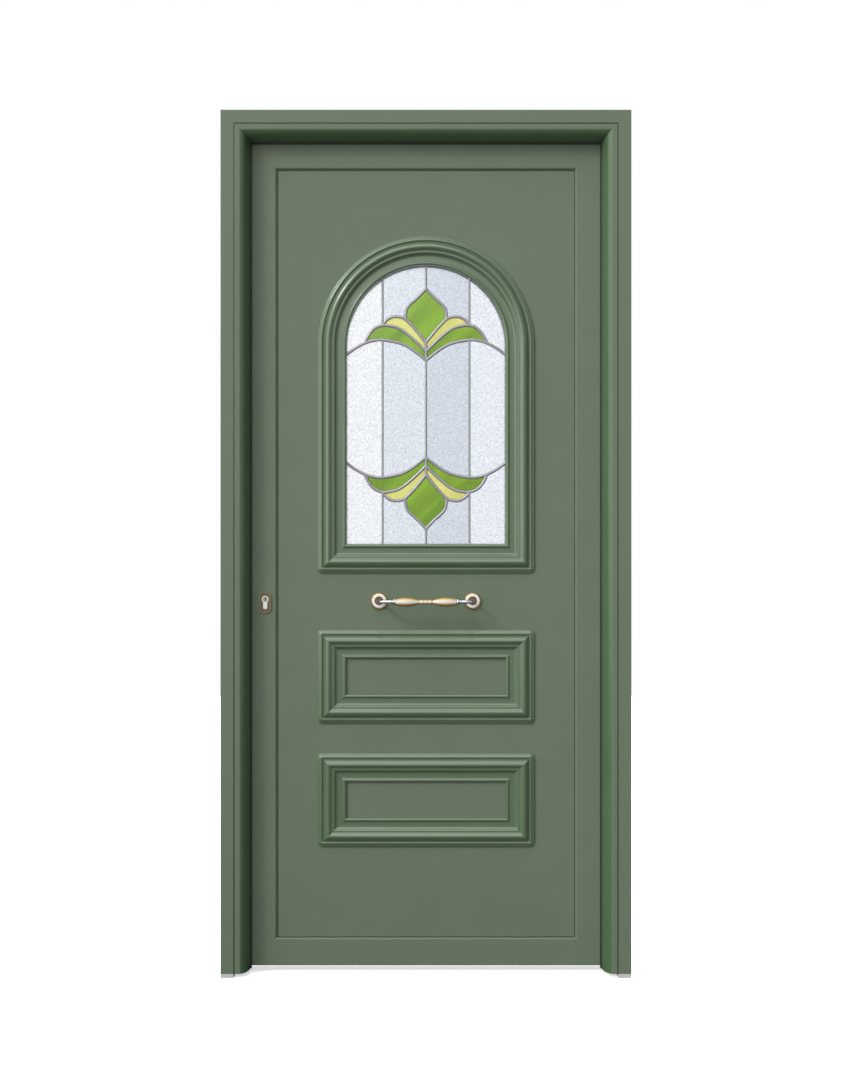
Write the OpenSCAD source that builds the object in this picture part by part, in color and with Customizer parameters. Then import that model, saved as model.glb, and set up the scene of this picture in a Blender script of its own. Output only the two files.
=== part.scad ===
// Panelled front door with its frame: an inward-opening aluminium leaf in a three-sided frame, with
// an arched leaded window, two applied panel mouldings, a pull handle outside and a lever inside.
// X runs across the door, Z up, and the outside face looks along -Y. Z = 0 is the underside of the feet
// and Y = 0 the middle of the leaf's thickness. Sizes are in millimetres.

/* [Frame] */
// Width over both jambs
frame_width = 1000; // [900:5:1150]
// Height from the floor to the top of the head
frame_height = 2113; // [2000:1:2300]
// How far the frame stands in front of the leaf's outside face
setback = 48; // [36:1:60]
// Wall thickness of the frame and leaf profiles
profile_wall = 2; // [1.5:0.1:2.6]
// Width of the frame's flat outer band
flat_band = 31.2; // [26:0.1:36]
// Where the front roll of the frame starts, from the outer edge
roll_start = 43.5; // [40:0.5:46]
// Width of the frame from its outer edge to the rebate face
rebate = 57.5; // [55:0.5:62]
// Width of the frame from its outer edge to the tip of the roll
roll_end = 67; // [65:0.5:70]
// How far the stop gasket shows past the roll
gasket_show = 3.5; // [2:0.5:5]
// Thickness of the stop gasket
gasket_thick = 4; // [3:0.5:6]
// Height of the foot plugs under the jambs
foot_height = 10; // [5:1:20]

/* [Leaf] */
// Thickness of the leaf
leaf_thick = 60; // [52:1:70]
// Gap between the leaf's edge and the frame's rebate
edge_gap = 6; // [5:0.5:8]
// Height of the leaf's lower edge above the floor
floor_gap = 16; // [10:1:25]
// Face width of the leaf's frame profile
stile = 68; // [64:1:80]
// Overlap of the leaf's profile on the panel
panel_cover = 9; // [7:0.5:10]
// Width of the bevel along the panel opening
bevel = 3.5; // [2.5:0.5:6]
// Thickness of the panel's foam core
core_thick = 25; // [22:1:30]
// Thickness of each panel skin
skin = 1.5; // [1:0.1:2.5]

/* [Mouldings] */
// Face width of the window frame and panel mouldings
mould_width = 72.5; // [66:0.5:80]
// Relief of the mouldings above the panel
mould_relief = 16; // [11:0.5:20]
// Half the outer width of the mouldings
mould_half = 268.5; // [250:0.5:285]
// Rounding of the mouldings' outer corners
mould_round = 12; // [10:0.5:12]
// Height of the window frame's lower edge
window_low = 984; // [960:1:1010]
// Height of the centre of the window's arch
arch_height = 1548.5; // [1500:0.5:1600]
// Height of each panel moulding
field_height = 232; // [210:1:250]
// Lower edge of the lower panel moulding
field_low = 308; // [290:1:320]
// Lower edge of the upper panel moulding
field_high = 613; // [590:1:630]

/* [Glazing] */
// Overlap of the window frame on the sealed unit
unit_cover = 14; // [11:0.5:16]
// Half the width between the outer upright lead lines
lead_pitch = 107.5; // [90:0.5:120]
// Face width of the curved lead cames
lead_wide = 8; // [6:0.5:10]
// Face width of the upright lead cames
lead_thin = 5.5; // [4:0.5:8]
// Thickness of the leaded glass
art_glass = 4; // [3:0.5:5]
// Thickness of the inner pane
pane = 4; // [3:0.5:5]
// Height the leadwork motifs are mirrored about
motif_mid = 1391; // [1380:1:1400]

/* [Handles and lock] */
// Height of the pull handle's centre
pull_height = 915.5; // [905:0.5:925]
// Spacing of the pull handle's rosettes
pull_spacing = 231; // [200:1:260]
// Reach of the handles from the leaf's face
handle_reach = 65; // [60:1:80]
// Distance from the leaf's edge to the middle of the cylinder
backset = 40; // [38:0.5:40.5]
// Height of the middle of the key cylinder
lock_height = 920; // [900:1:940]
// Distance from the cylinder up to the lever's spindle
lock_pitch = 85; // [84:1:92]
// Diameter of the cylinder's plug
plug_bore = 13; // [12:0.5:13.5]
// How far the latch stands out of the faceplate
latch_throw = 13; // [10:0.5:14]

/* [Hinges] */
// Height of the middle of the lowest hinge
hinge_low = 230; // [200:5:300]
// Height of the middle of the highest hinge
hinge_high = 1840; // [1700:5:1900]
// Diameter of the hinge pins
hinge_pin = 10; // [8:0.5:11]
// Diameter of the hinge knuckles
knuckle = 18; // [17:0.5:18.5]

/* [Hidden] */
$fn = 48;
half_width = frame_width/2;
face = -leaf_thick/2;
back = leaf_thick/2;
front = face - setback;
leaf_half = half_width - rebate - edge_gap;
leaf_top = frame_height - rebate - edge_gap;
lip_back = face - gasket_thick;
open_half = leaf_half - stile;
open_low = floor_gap + stile;
open_top = leaf_top - stile;
panel_half = open_half + panel_cover;
groove = 12.25;
groove_deep = 3;
lip = 3.2;
skin_front = face + lip + 2;
core_front = skin_front + skin;
core_back = core_front + core_thick;
skin_back = core_back + skin;
bead_front = skin_back + 3;
tape = 1.5;
unit_inset = mould_width - unit_cover;
cut_inset = unit_inset - 13;
screw_inset = unit_inset - 6.5;
lead_front = skin_front + tape;
lead_flange = 0.9;
glass_front = lead_front + lead_flange + 0.1;
lead_back = lead_front + art_glass + 2*lead_flange + 0.2;
pane_back = skin_back - tape;
pane_front = pane_back - pane;
lead_heart = 1.6;
heart_gap = 0.3;
keyed = -leaf_half + backset;
spindle_z = lock_height + lock_pitch;
hinge_x = leaf_half + edge_gap/2;
hinge_y = back + knuckle/2 + 1;
hinge_heights = [hinge_low, (hinge_low + hinge_high)/2, hinge_high];
fixing_heights = [for (i = [0:3]) 250 + i*(frame_height - 583)/3];
fixing_y = face + 9.5;
head_fixing_x = half_width/2;
k = mould_relief/16;

// ---- placing helpers ----
module slab(y0, y1) { translate([0, y1, 0]) rotate([90, 0, 0]) linear_extrude(y1 - y0) children(); }
module along_x(x0, x1) { translate([x0, 0, 0]) rotate([90, 0, 90]) linear_extrude(x1 - x0) children(); }
module along_z(z0, z1) { translate([0, 0, z0]) linear_extrude(z1 - z0) children(); }
module pin_y(x, y0, z, length, r) {
    translate([x, y0 + length, z]) rotate([90, 0, 0]) cylinder(r = r, h = length);
}
module pin_x(x0, y, z, length, r) { translate([x0, y, z]) rotate([0, 90, 0]) cylinder(r = r, h = length); }
module both() { children(); mirror([1, 0, 0]) children(); }
module brick(x0, x1, y0, y1, z0, z1) { translate([x0, y0, z0]) cube([x1 - x0, y1 - y0, z1 - z0]); }

// ---- frame profile, in [distance from the outer edge, depth] ----
roll_wide = roll_end - roll_start;
roll_deep = lip_back - front;
roll_facets = 36;
quirk = 3.2;
w = profile_wall;
gasket_slot = roll_end - 6;
function roll(a, b, t0, t1, n) =
    [for (i = [0:n]) let (t = t0 + (t1 - t0)*i/n) [roll_start + a*sin(t), lip_back - b*cos(t)]];
frame_skin = concat(
    [[0, front], [flat_band, front], [flat_band, front + 3], [flat_band + quirk, front + 3],
     [flat_band + quirk, front]],
    roll(roll_wide, roll_deep, 0, 90, roll_facets),
    [[gasket_slot + 2, lip_back], [gasket_slot + 2, lip_back - 4], [gasket_slot - 2, lip_back - 4],
     [gasket_slot - 2, lip_back], [rebate, lip_back], [rebate, -groove], [rebate - groove_deep, -groove],
     [rebate - groove_deep, groove], [rebate, groove], [rebate, back], [0, back]]);
chamber_a = [[w, front + w], [flat_band - w, front + w], [flat_band - w, front + 3 + w],
    [flat_band - 1.2, front + 3 + w], [flat_band - 1.2, back - w], [w, back - w]];
inner_wide = roll_wide - w;
inner_deep = roll_deep - w;
chamber_b = concat(
    [[flat_band + 0.8, front + 3 + w], [flat_band + quirk + w, front + 3 + w],
     [flat_band + quirk + w, front + w]],
    roll(inner_wide, inner_deep, 0, 81, 14),
    [[roll_start + inner_wide*sin(81), lip_back - 6], [rebate - w, lip_back - 6],
     [rebate - w, -groove - w], [rebate - groove_deep - w, -groove - w],
     [rebate - groove_deep - w, groove + w], [rebate - w, groove + w], [rebate - w, back - w],
     [flat_band + 0.8, back - w]]);
module frame_profile() {
    difference() {
        polygon(frame_skin);
        polygon(chamber_a);
        polygon(chamber_b);
    }
}
// How far the jambs' and head's mitre planes are drawn inwards
m = roll_end + 15;
module jamb() {
    intersection() {
        along_z(foot_height, frame_height) translate([-half_width, 0]) frame_profile();
        slab(front - 1, back + 1) polygon([[-half_width, foot_height], [-half_width, frame_height],
            [-half_width + m, frame_height - m], [-half_width + m, foot_height]]);
    }
}
module fixing_holes() {
    for (z = fixing_heights) {
        pin_x(-half_width - 1, fixing_y, z, flat_band + 3, 4.25);
        pin_x(-half_width + rebate - groove_deep - w - 1, fixing_y, z, groove_deep + w + 2, 8);
    }
}

module frame_jamb_lock() {
    color([0.41, 0.45, 0.39]) difference() {
        jamb();
        fixing_holes();
        brick(-half_width + rebate - groove_deep - w - 1, -half_width + rebate, -latch_slot[0], latch_slot[0],
            latch_z - latch_slot[1], latch_z + latch_slot[1]);
        brick(-half_width + rebate - groove_deep - w - 1, -half_width + rebate, -bolt_slot[0], bolt_slot[0],
            bolt_z - bolt_slot[1], bolt_z + bolt_slot[1]);
        for (z = strike_screw_z)
            pin_x(-half_width + rebate - groove_deep - w - 1, 0, z, groove_deep + w, 2.1);
    }
}
module frame_jamb_hinge() {
    color([0.41, 0.45, 0.39]) difference() {
        mirror([1, 0, 0]) { difference() { jamb(); fixing_holes(); } }
        for (h = hinge_heights) for (x = frame_screw_x) for (s = screw_rows)
            pin_y(x, back - w - 1, h + s, w + 2, 2.3);
    }
}
module frame_head() {
    color([0.41, 0.45, 0.39]) difference() {
        intersection() {
            translate([-half_width, 0, frame_height]) rotate([0, 90, 0])
                linear_extrude(frame_width) frame_profile();
            slab(front - 1, back + 1) polygon([[-half_width, frame_height], [half_width, frame_height],
                [half_width - m, frame_height - m], [-half_width + m, frame_height - m]]);
        }
        both() {
            translate([head_fixing_x, fixing_y, frame_height - flat_band - 2])
                cylinder(r = 4.25, h = flat_band + 4);
            translate([head_fixing_x, fixing_y, frame_height - rebate - 1])
                cylinder(r = 8, h = groove_deep + w + 2);
        }
    }
}
cleat_leg = 72;
cleat_gap = 0.3;
module frame_cleats() {
    c0 = w + cleat_gap;
    c1 = flat_band - 1.2 - cleat_gap;
    color([0.72, 0.73, 0.74]) both()
        for (y = [front + 12, back - 46])
            slab(y, y + 34) polygon([[-half_width + c0, frame_height - cleat_leg],
                [-half_width + c0, frame_height - c0], [-half_width + cleat_leg, frame_height - c0],
                [-half_width + cleat_leg, frame_height - c1], [-half_width + c1, frame_height - c1],
                [-half_width + c1, frame_height - cleat_leg]]);
}
module foot_plugs() {
    c0 = w + cleat_gap;
    c1 = flat_band - 1.2 - cleat_gap;
    color([0.78, 0.78, 0.77]) both() {
        brick(-half_width, -half_width + flat_band + 0.4, front, back, 0, foot_height);
        difference() {
            brick(-half_width + c0, -half_width + c1, front + 8, back - 8,
                foot_height - 1, foot_height + 34);
            brick(-half_width + c0 + 3, -half_width + c1 - 3, front + 11, back - 11,
                foot_height, foot_height + 36);
        }
    }
}
g = 0.3;
gasket_in = rebate + 0.4;
gasket_out = roll_end + gasket_show;
// Three-sided run between two distances from the frame's outer edge
module gasket_run(out, in) {
    difference() {
        translate([-half_width + out, foot_height])
            square([frame_width - 2*out, frame_height - out - foot_height]);
        translate([-half_width + in, foot_height - 1])
            square([frame_width - 2*in, frame_height - in - foot_height + 1]);
    }
}
module stop_gasket() {
    color([0.10, 0.11, 0.10]) {
        slab(lip_back, face - g) gasket_run(gasket_in, gasket_out);
        slab(lip_back - 3.7, lip_back) gasket_run(gasket_slot - 1.7, gasket_slot + 1.7);
    }
}
module fixing_caps() {
    color([0.41, 0.45, 0.39]) {
        both() for (z = fixing_heights) {
            pin_x(-half_width + rebate, fixing_y, z, 1, 8.8);
            pin_x(-half_width + rebate - 5, fixing_y, z, 5.5, 7.8);
        }
        both() {
            translate([head_fixing_x, fixing_y, frame_height - rebate - 1]) cylinder(r = 8.8, h = 1);
            translate([head_fixing_x, fixing_y, frame_height - rebate - 0.5]) cylinder(r = 7.8, h = 5.5);
        }
    }
}

// ---- leaf ----
bead_lip = stile - panel_cover - 3;
leaf_skin = [[0, face], [stile - bevel, face], [stile, face + lip - 0.5], [stile, face + lip],
    [bead_lip, face + lip], [bead_lip, back], [0, back], [0, groove], [groove_deep, groove],
    [groove_deep, -groove], [0, -groove]];
leaf_hollow = [[w, face + w], [bead_lip - w, face + w], [bead_lip - w, back - w], [w, back - w],
    [w, groove + w], [groove_deep + w, groove + w], [groove_deep + w, -groove - w], [w, -groove - w]];
module leaf_profile() { difference() { polygon(leaf_skin); polygon(leaf_hollow); } }
mitre_reach = stile + 9;
module stile_bar() {
    intersection() {
        along_z(floor_gap, leaf_top) translate([-leaf_half, 0]) leaf_profile();
        slab(face - 1, back + 1) polygon([[-leaf_half, floor_gap], [-leaf_half, leaf_top],
            [-leaf_half + mitre_reach, leaf_top - mitre_reach],
            [-leaf_half + mitre_reach, floor_gap + mitre_reach]]);
    }
}
module rail_bar(z, up) {
    translate([0, 0, z]) mirror([0, 0, up]) intersection() {
        translate([-leaf_half, 0, 0]) rotate([0, 90, 0]) mirror([1, 0, 0])
            linear_extrude(2*leaf_half) leaf_profile();
        slab(face - 1, back + 1) polygon([[-leaf_half, 0], [leaf_half, 0],
            [leaf_half - stile - 9, mitre_reach], [-leaf_half + mitre_reach, mitre_reach]]);
    }
}
// ---- lock positions ----
// Half the depth and half the height of the openings for the latch and the bolt
latch_slot = [7.5, 12];
bolt_slot = [7, 14];
latch_z = lock_height + 56;
bolt_z = lock_height + 29;
case_low = lock_height - 85;
case_high = spindle_z + 60;
strike_low = bolt_z - 78;
strike_high = latch_z + 64;
strike_screw_z = [strike_low + 12, strike_high - 12];
case_screw_z = [case_low - 12, case_high + 12];
case_front = -leaf_half + groove_deep + w + 0.2;
case_back = -leaf_half + bead_lip - w - 0.6;
euro_round = 8.5;
euro_tail = 5;
euro_drop = 19.5;
module euro(grow, y0, y1) {
    translate([keyed, 0, lock_height]) slab(y0, y1) {
        circle(r = euro_round + grow);
        translate([-euro_tail - grow, -euro_drop]) square([2*(euro_tail + grow), euro_drop]);
        translate([0, -euro_drop]) circle(r = euro_tail + grow);
    }
}
module leaf_stile_lock() {
    color([0.41, 0.45, 0.39]) difference() {
        stile_bar();
        brick(-leaf_half - 1, -leaf_half + groove_deep + w + 1, -8.2, 8.2, case_low - 1, case_high + 1);
        euro(0.5, face - 1, back + 1);
        pin_y(keyed, back - w - 1, spindle_z, w + 2, 8.5);
        for (z = plate_screw_z) pin_y(keyed, back - w - 1, z, w + 2, 2.1);
        for (z = case_screw_z) pin_x(-leaf_half - 1, 0, z, 8, 2.1);
    }
}
module leaf_stile_hinge() {
    color([0.41, 0.45, 0.39]) difference() {
        mirror([1, 0, 0]) stile_bar();
        for (h = hinge_heights) for (x = leaf_screw_x) for (s = screw_rows)
            pin_y(x, back - w - 1, h + s, w + 2, 2.3);
    }
}
module leaf_rails() {
    color([0.41, 0.45, 0.39]) { rail_bar(leaf_top, 1); rail_bar(floor_gap, 0); }
}
module leaf_cleats() {
    c0 = groove_deep + w + cleat_gap;
    c1 = bead_lip - w - cleat_gap;
    color([0.72, 0.73, 0.74]) both() for (s = [0, 1])
        translate([0, 0, s == 0 ? floor_gap : leaf_top]) mirror([0, 0, s])
            slab(-10, 12) difference() {
                polygon([[-leaf_half + c0, c0], [-leaf_half + c0, 110], [-leaf_half + c1, 110],
                    [-leaf_half + c1, c1], [-leaf_half + 110, c1], [-leaf_half + 110, c0]]);
                translate([-leaf_half + c0 + 6, 62]) square([c1 - c0 - 12, 40]);
                translate([-leaf_half + 62, c0 + 6]) square([40, c1 - c0 - 12]);
            }
}

// ---- panel and its beads ----
module arch_shape(inset) {
    r = mould_half - inset;
    translate([-r, window_low + inset]) square([2*r, arch_height - window_low - inset]);
    translate([0, arch_height]) circle(r = r);
}
module panel_sheet(y0, y1) {
    difference() {
        slab(y0, y1) difference() {
            translate([-panel_half, open_low - panel_cover])
                square([2*panel_half, open_top - open_low + 2*panel_cover]);
            arch_shape(cut_inset);
        }
        both() pin_y(pull_spacing/2, y0 - 1, pull_height, y1 - y0 + 2, y1 - y0 > 5 ? 7.2 : 4.3);
    }
}
module panel_skin_outer() { color([0.41, 0.45, 0.39]) panel_sheet(skin_front, core_front); }
module panel_core() { color([0.85, 0.84, 0.78]) panel_sheet(core_front, core_back); }
module panel_skin_inner() { color([0.41, 0.45, 0.39]) panel_sheet(core_back, skin_back); }
module panel_ring(y0, y1, d0, d1) {
    slab(y0, y1) difference() {
        translate([-leaf_half + d0, floor_gap + d0])
            square([2*(leaf_half - d0), leaf_top - floor_gap - 2*d0]);
        translate([-leaf_half + d1, floor_gap + d1])
            square([2*(leaf_half - d1), leaf_top - floor_gap - 2*d1]);
    }
}
// How far the outer panel gasket shows past the leaf's profile
panel_line = 1.8;
module panel_gaskets() {
    color([0.1, 0.11, 0.1]) {
        panel_ring(face + lip, skin_front, bead_lip + 1, stile + panel_line);
        panel_ring(skin_back, bead_front, bead_lip + 1, stile - 0.6);
    }
}
bead_skin = [[0, bead_front], [stile - bead_lip - 2, bead_front], [stile - bead_lip, bead_front + 2],
    [stile - bead_lip, back - 4], [stile - bead_lip - 4, back], [0, back]];
bead_hollow = [[1.6, bead_front + 1.6], [stile - bead_lip - 2.6, bead_front + 1.6],
    [stile - bead_lip - 1.6, bead_front + 2.6], [stile - bead_lip - 1.6, back - 4.6],
    [stile - bead_lip - 4.6, back - 1.6], [1.6, back - 1.6]];
module bead_profile() { difference() { polygon(bead_skin); polygon(bead_hollow); } }
bd = stile - bead_lip + 3;
cut = 0.3;
module upright_beads() {
    both() intersection() {
        along_z(floor_gap + bead_lip, leaf_top - bead_lip) translate([-leaf_half + bead_lip, 0])
            bead_profile();
        slab(bead_front - 1, back + 1) polygon([[-leaf_half + bead_lip, floor_gap + bead_lip + cut],
            [-leaf_half + bead_lip, leaf_top - bead_lip - cut],
            [-leaf_half + bead_lip + bd, leaf_top - bead_lip - bd - cut],
            [-leaf_half + bead_lip + bd, floor_gap + bead_lip + bd + cut]]);
    }
}
module level_beads() {
    for (s = [0, 1])
        translate([0, 0, s == 0 ? floor_gap + bead_lip : leaf_top - bead_lip])
        mirror([0, 0, s]) intersection() {
            translate([-leaf_half + bead_lip, 0, 0]) rotate([0, 90, 0]) mirror([1, 0, 0])
                linear_extrude(2*(leaf_half - bead_lip)) bead_profile();
            slab(bead_front - 1, back + 1) polygon([[-leaf_half + bead_lip, 0], [leaf_half - bead_lip, 0],
                [leaf_half - bead_lip - bd, bd], [-leaf_half + bead_lip + bd, bd]]);
        }
}

module panel_beads() { color([0.41, 0.45, 0.39]) { upright_beads(); level_beads(); } }

// ---- moulding section, in [distance from the outer edge, height above the panel] ----
f = mould_width/72.5;
section_top = [[0, 0], [0.5, 3.2], [2, 4.8], [4, 5.2], [6, 6.6], [8, 7.9], [10, 8.5], [11.6, 8.3],
    [12.8, 7.4], [13.6, 6], [14.6, 5.7], [15.6, 6.6], [17.2, 9], [19.8, 11.8], [22.4, 13.9], [25, 15.3],
    [27.6, 16], [30, 15.6], [32.4, 14.2], [34.4, 12.4], [36, 11], [37.6, 10.5], [41, 10.5], [42.6, 9.9],
    [44.6, 7.8], [46.6, 5.6], [48.6, 4.4], [50.8, 4], [61, 4], [62.6, 4.5], [64.6, 6.2], [66.6, 7],
    [68.8, 6.7], [70.8, 5.2], [72, 3], [72.5, 0]];
section = [for (p = section_top) [p[0]*f, p[1]*k]];
hollow = [[mould_round*1.1, -1], [mould_round*1.1, 3.2*k], [16*f, 3.6*k], [22*f, 10*k], [27.5*f, 12.4*k],
    [31*f, 11*k], [36*f, 7.4*k], [41*f, 6.8*k], [44*f, 4*k], [45.5*f, -1]];
module run_side(base, z0, z1) {
    along_z(z0, z1) difference() {
        polygon([for (p = section) [p[0], base - p[1]]]);
        polygon([for (p = hollow) [p[0], base - p[1]]]);
    }
}
module run_low(base, half) {
    along_x(-half, half) difference() {
        polygon([for (p = section) [base - p[1], p[0]]]);
        polygon([for (p = hollow) [base - p[1], p[0]]]);
    }
}
r = mould_round;
mw = mould_width;
corner = concat([[0, 0]], [for (p = section) if (p[0] < r - 0.3) [r - p[0], p[1]]], [[0, 8.2*k]]);
module corner_turn(base) {
    translate([-mould_half + r, base, r]) rotate([90, 0, 0]) rotate([0, 0, 180])
        rotate_extrude(angle = 90) polygon(corner);
}
module low_plan() {
    polygon([[-mould_half + r, 0], [mould_half - r, 0], [mould_half - r, r], [mould_half - mw, mw],
        [-mould_half + mw, mw], [-mould_half + r, r]]);
}
module side_plan(high) {
    polygon([[-mould_half, r], [-mould_half, high - r], [-mould_half + r, high - r],
        [-mould_half + mw, high - mw], [-mould_half + mw, mw], [-mould_half + r, r]]);
}
// One-piece panel moulding standing on its lower edge, backed by the plane at base
module field_moulding(base) {
    both() {
        intersection() {
            translate([-mould_half, 0, 0]) run_side(base, 0, field_height);
            slab(base - 30, base + 1) side_plan(field_height);
        }
        corner_turn(base);
        translate([0, 0, field_height]) mirror([0, 0, 1]) corner_turn(base);
    }
    for (s = [0, 1]) translate([0, 0, s*field_height]) mirror([0, 0, s]) intersection() {
        run_low(base, mould_half);
        slab(base - 30, base + 1) low_plan();
    }
}
module window_moulding(base) {
    both() {
        intersection() {
            translate([-mould_half, 0, 0]) run_side(base, window_low, arch_height);
            translate([0, 0, window_low]) slab(base - 30, base + 1) polygon([[-mould_half, r],
                [-mould_half, arch_height - window_low], [-mould_half + mw, arch_height - window_low],
                [-mould_half + mw, mw], [-mould_half + r, r]]);
        }
        translate([0, 0, window_low]) corner_turn(base);
    }
    translate([0, 0, window_low]) intersection() {
        run_low(base, mould_half);
        slab(base - 30, base + 1) low_plan();
    }
    translate([0, base, arch_height]) rotate([90, 0, 0]) rotate_extrude(angle = 180) difference() {
        polygon([for (p = section) [mould_half - p[0], p[1]]]);
        polygon([for (p = hollow) [mould_half - p[0], p[1]]]);
    }
}
// Where the screws join the outer and inner window frames
screw_r = mould_half - screw_inset;
screw_spots = concat(
    [for (x = [-0.62, 0, 0.62]) [x*screw_r, window_low + screw_inset]],
    [for (z = [0.12, 0.5, 0.88]) for (s = [-1, 1])
        [s*screw_r, window_low + screw_inset + z*(arch_height - window_low - screw_inset)]],
    [for (a = [30, 60, 90, 120, 150]) [screw_r*cos(a), arch_height + screw_r*sin(a)]]);
module window_frame_outer() {
    color([0.41, 0.45, 0.39]) difference() {
        union() {
            window_moulding(skin_front);
            for (p = screw_spots)
                pin_y(p[0], skin_front - 3*k, p[1], skin_back - skin_front + 3*k - 1, 4.5);
        }
        for (p = screw_spots) pin_y(p[0], skin_front + 4, p[1], 40, 1.65);
    }
}
module window_frame_inner() {
    color([0.41, 0.45, 0.39]) difference() {
        mirror([0, 1, 0]) window_moulding(-skin_back);
        for (p = screw_spots) {
            pin_y(p[0], skin_back - 1, p[1], 20, 2.1);
            pin_y(p[0], skin_back + 4*k - 2.2, p[1], 20, 4.3);
        }
    }
}
module window_screws() {
    color([0.75, 0.75, 0.76]) for (p = screw_spots) {
        pin_y(p[0], skin_front + 8, p[1], skin_back - skin_front - 9.7 + 4*k, 1.6);
        pin_y(p[0], skin_back + 4*k - 2.2, p[1], 1.3, 3.6);
    }
}
module window_screw_caps() {
    color([0.41, 0.45, 0.39]) for (p = screw_spots) pin_y(p[0], skin_back + 4*k - 0.8, p[1], 0.8, 4.2);
}
module ring_2d(a, b) { difference() { arch_shape(a); arch_shape(b); } }
module window_tapes() {
    color([0.15, 0.15, 0.15]) {
        slab(skin_front, lead_front) ring_2d(unit_inset + 1, mould_width - 3);
        slab(pane_back, skin_back) ring_2d(unit_inset + 1, mould_width - 3);
    }
}
module unit_spacer() {
    color([0.7, 0.71, 0.72]) slab(lead_back, pane_front) ring_2d(unit_inset + 1.5, unit_inset + 9);
}
module inner_pane() { color([0.8, 0.88, 0.9, 0.4]) slab(pane_front, pane_back) arch_shape(unit_inset); }

// ---- leadwork ----
function point(p, t, i) = let (a = p[max(i - 1, 0)], b = p[i], c = p[i + 1],
    d = p[min(i + 2, len(p) - 1)])
    0.5*(2*b + (c - a)*t + (2*a - 5*b + 4*c - d)*t*t + (3*b - 3*c + d - a)*t*t*t);
function smooth(p, n) =
    concat([for (i = [0:len(p) - 2]) for (j = [0:n - 1]) point(p, j/n, i)], [p[len(p) - 1]]);
function unit(v) = v/norm(v);
function side(p, i) =
    let (a = p[max(i - 1, 0)], b = p[min(i + 1, len(p) - 1)], d = unit(b - a)) [-d[1], d[0]];
function band(p, wide) = concat([for (i = [0:len(p) - 1]) p[i] + side(p, i)*wide/2],
    [for (i = [len(p) - 1:-1:0]) p[i] - side(p, i)*wide/2]);
q = lead_pitch/107.5;
n = 2;
// Heights here are counted from the level the motifs are mirrored about
bud_side = smooth([[0, 297], [-22*q, 274], [-41*q, 257], [-49*q, 243], [-51*q, 222]], n);
leaf_over = smooth([[-107.5*q, 207.5], [-96*q, 220.5], [-81*q, 227.5], [-65*q, 227], [-51*q, 221.5],
    [-27*q, 197], [0, 164]], n);
leaf_under = smooth([[-151*q, 163.5], [-140*q, 185], [-126*q, 199.5], [-108*q, 206], [-91*q, 205.5],
    [-66*q, 198.5], [-37*q, 177], [0, 141.5]], n);
sweep = smooth([[-199, 132], [-176, 149], [-151*q, 162.5], [-128*q, 169], [-106*q, 170],
    [-66*q, 162.5], [-37*q, 148.5], [0, 120]], n);
module curves(wide) {
    for (c = [bud_side, leaf_over, leaf_under, sweep]) polygon(band(c, wide));
}
module half_motif(wide, thin) {
    both() curves(wide);
    translate([-wide/2, 116]) square([wide, 50]);
    translate([-thin/2, 296]) square([thin, 300]);
    both() translate([lead_pitch - thin/2, 207]) square([thin, 300]);
}
module motifs(wide, thin) {
    translate([0, motif_mid]) { half_motif(wide, thin); mirror([0, 1]) half_motif(wide, thin); }
    translate([-thin/2, motif_mid - 121]) square([thin, 242]);
    both() translate([lead_pitch - thin/2, motif_mid - 170]) square([thin, 340]);
}
module lead_net(wide, thin, edge) {
    intersection() { motifs(wide, thin); arch_shape(unit_inset + 0.2); }
    ring_2d(unit_inset, unit_inset + edge);
}
module lead_came() {
    color([0.5, 0.5, 0.51]) {
        slab(lead_front, lead_front + lead_flange) lead_net(lead_wide, lead_thin, 10);
        slab(lead_front + lead_flange, lead_back - lead_flange) lead_net(lead_heart, lead_heart, 4);
        slab(lead_back - lead_flange, lead_back) lead_net(lead_wide, lead_thin, 10);
    }
}
module cut_glass() {
    slab(glass_front, glass_front + art_glass) difference() {
        children();
        motifs(lead_heart + 2*heart_gap, lead_heart + 2*heart_gap);
        difference() { square([3000, 6000], center = true); arch_shape(unit_inset + 4.3); }
    }
}
function slice(p, a, b) = [for (i = [a:b]) p[i]];
function back_to(p) = [for (i = [len(p) - 1:-1:0]) p[i]];
bud_part = concat(bud_side, slice(leaf_over, 4*n, 6*n));
module yellow_2d() { polygon(concat(leaf_over, back_to(slice(leaf_under, 3*n, 7*n)))); }
module green_2d() { polygon(concat(leaf_under, back_to(slice(sweep, 2*n, 7*n)))); }
module twice() { translate([0, motif_mid]) { both() children(); mirror([0, 1]) both() children(); } }
module glass_green() { color([0.53, 0.67, 0.21, 0.9]) cut_glass() twice() { polygon(bud_part); green_2d(); } }
module glass_yellow() { color([0.87, 0.87, 0.51, 0.9]) cut_glass() twice() yellow_2d(); }
module glass_clear() {
    color([0.88, 0.9, 0.94, 0.7]) cut_glass() difference() {
        arch_shape(unit_inset + 4.3);
        twice() { polygon(bud_part); green_2d(); yellow_2d(); }
    }
}

// ---- panel mouldings ----
module field_mouldings() {
    color([0.41, 0.45, 0.39]) for (z = [field_low, field_high]) translate([0, 0, z]) {
        field_moulding(skin_front);
        mirror([0, 1, 0]) field_moulding(-skin_back);
    }
}

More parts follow.
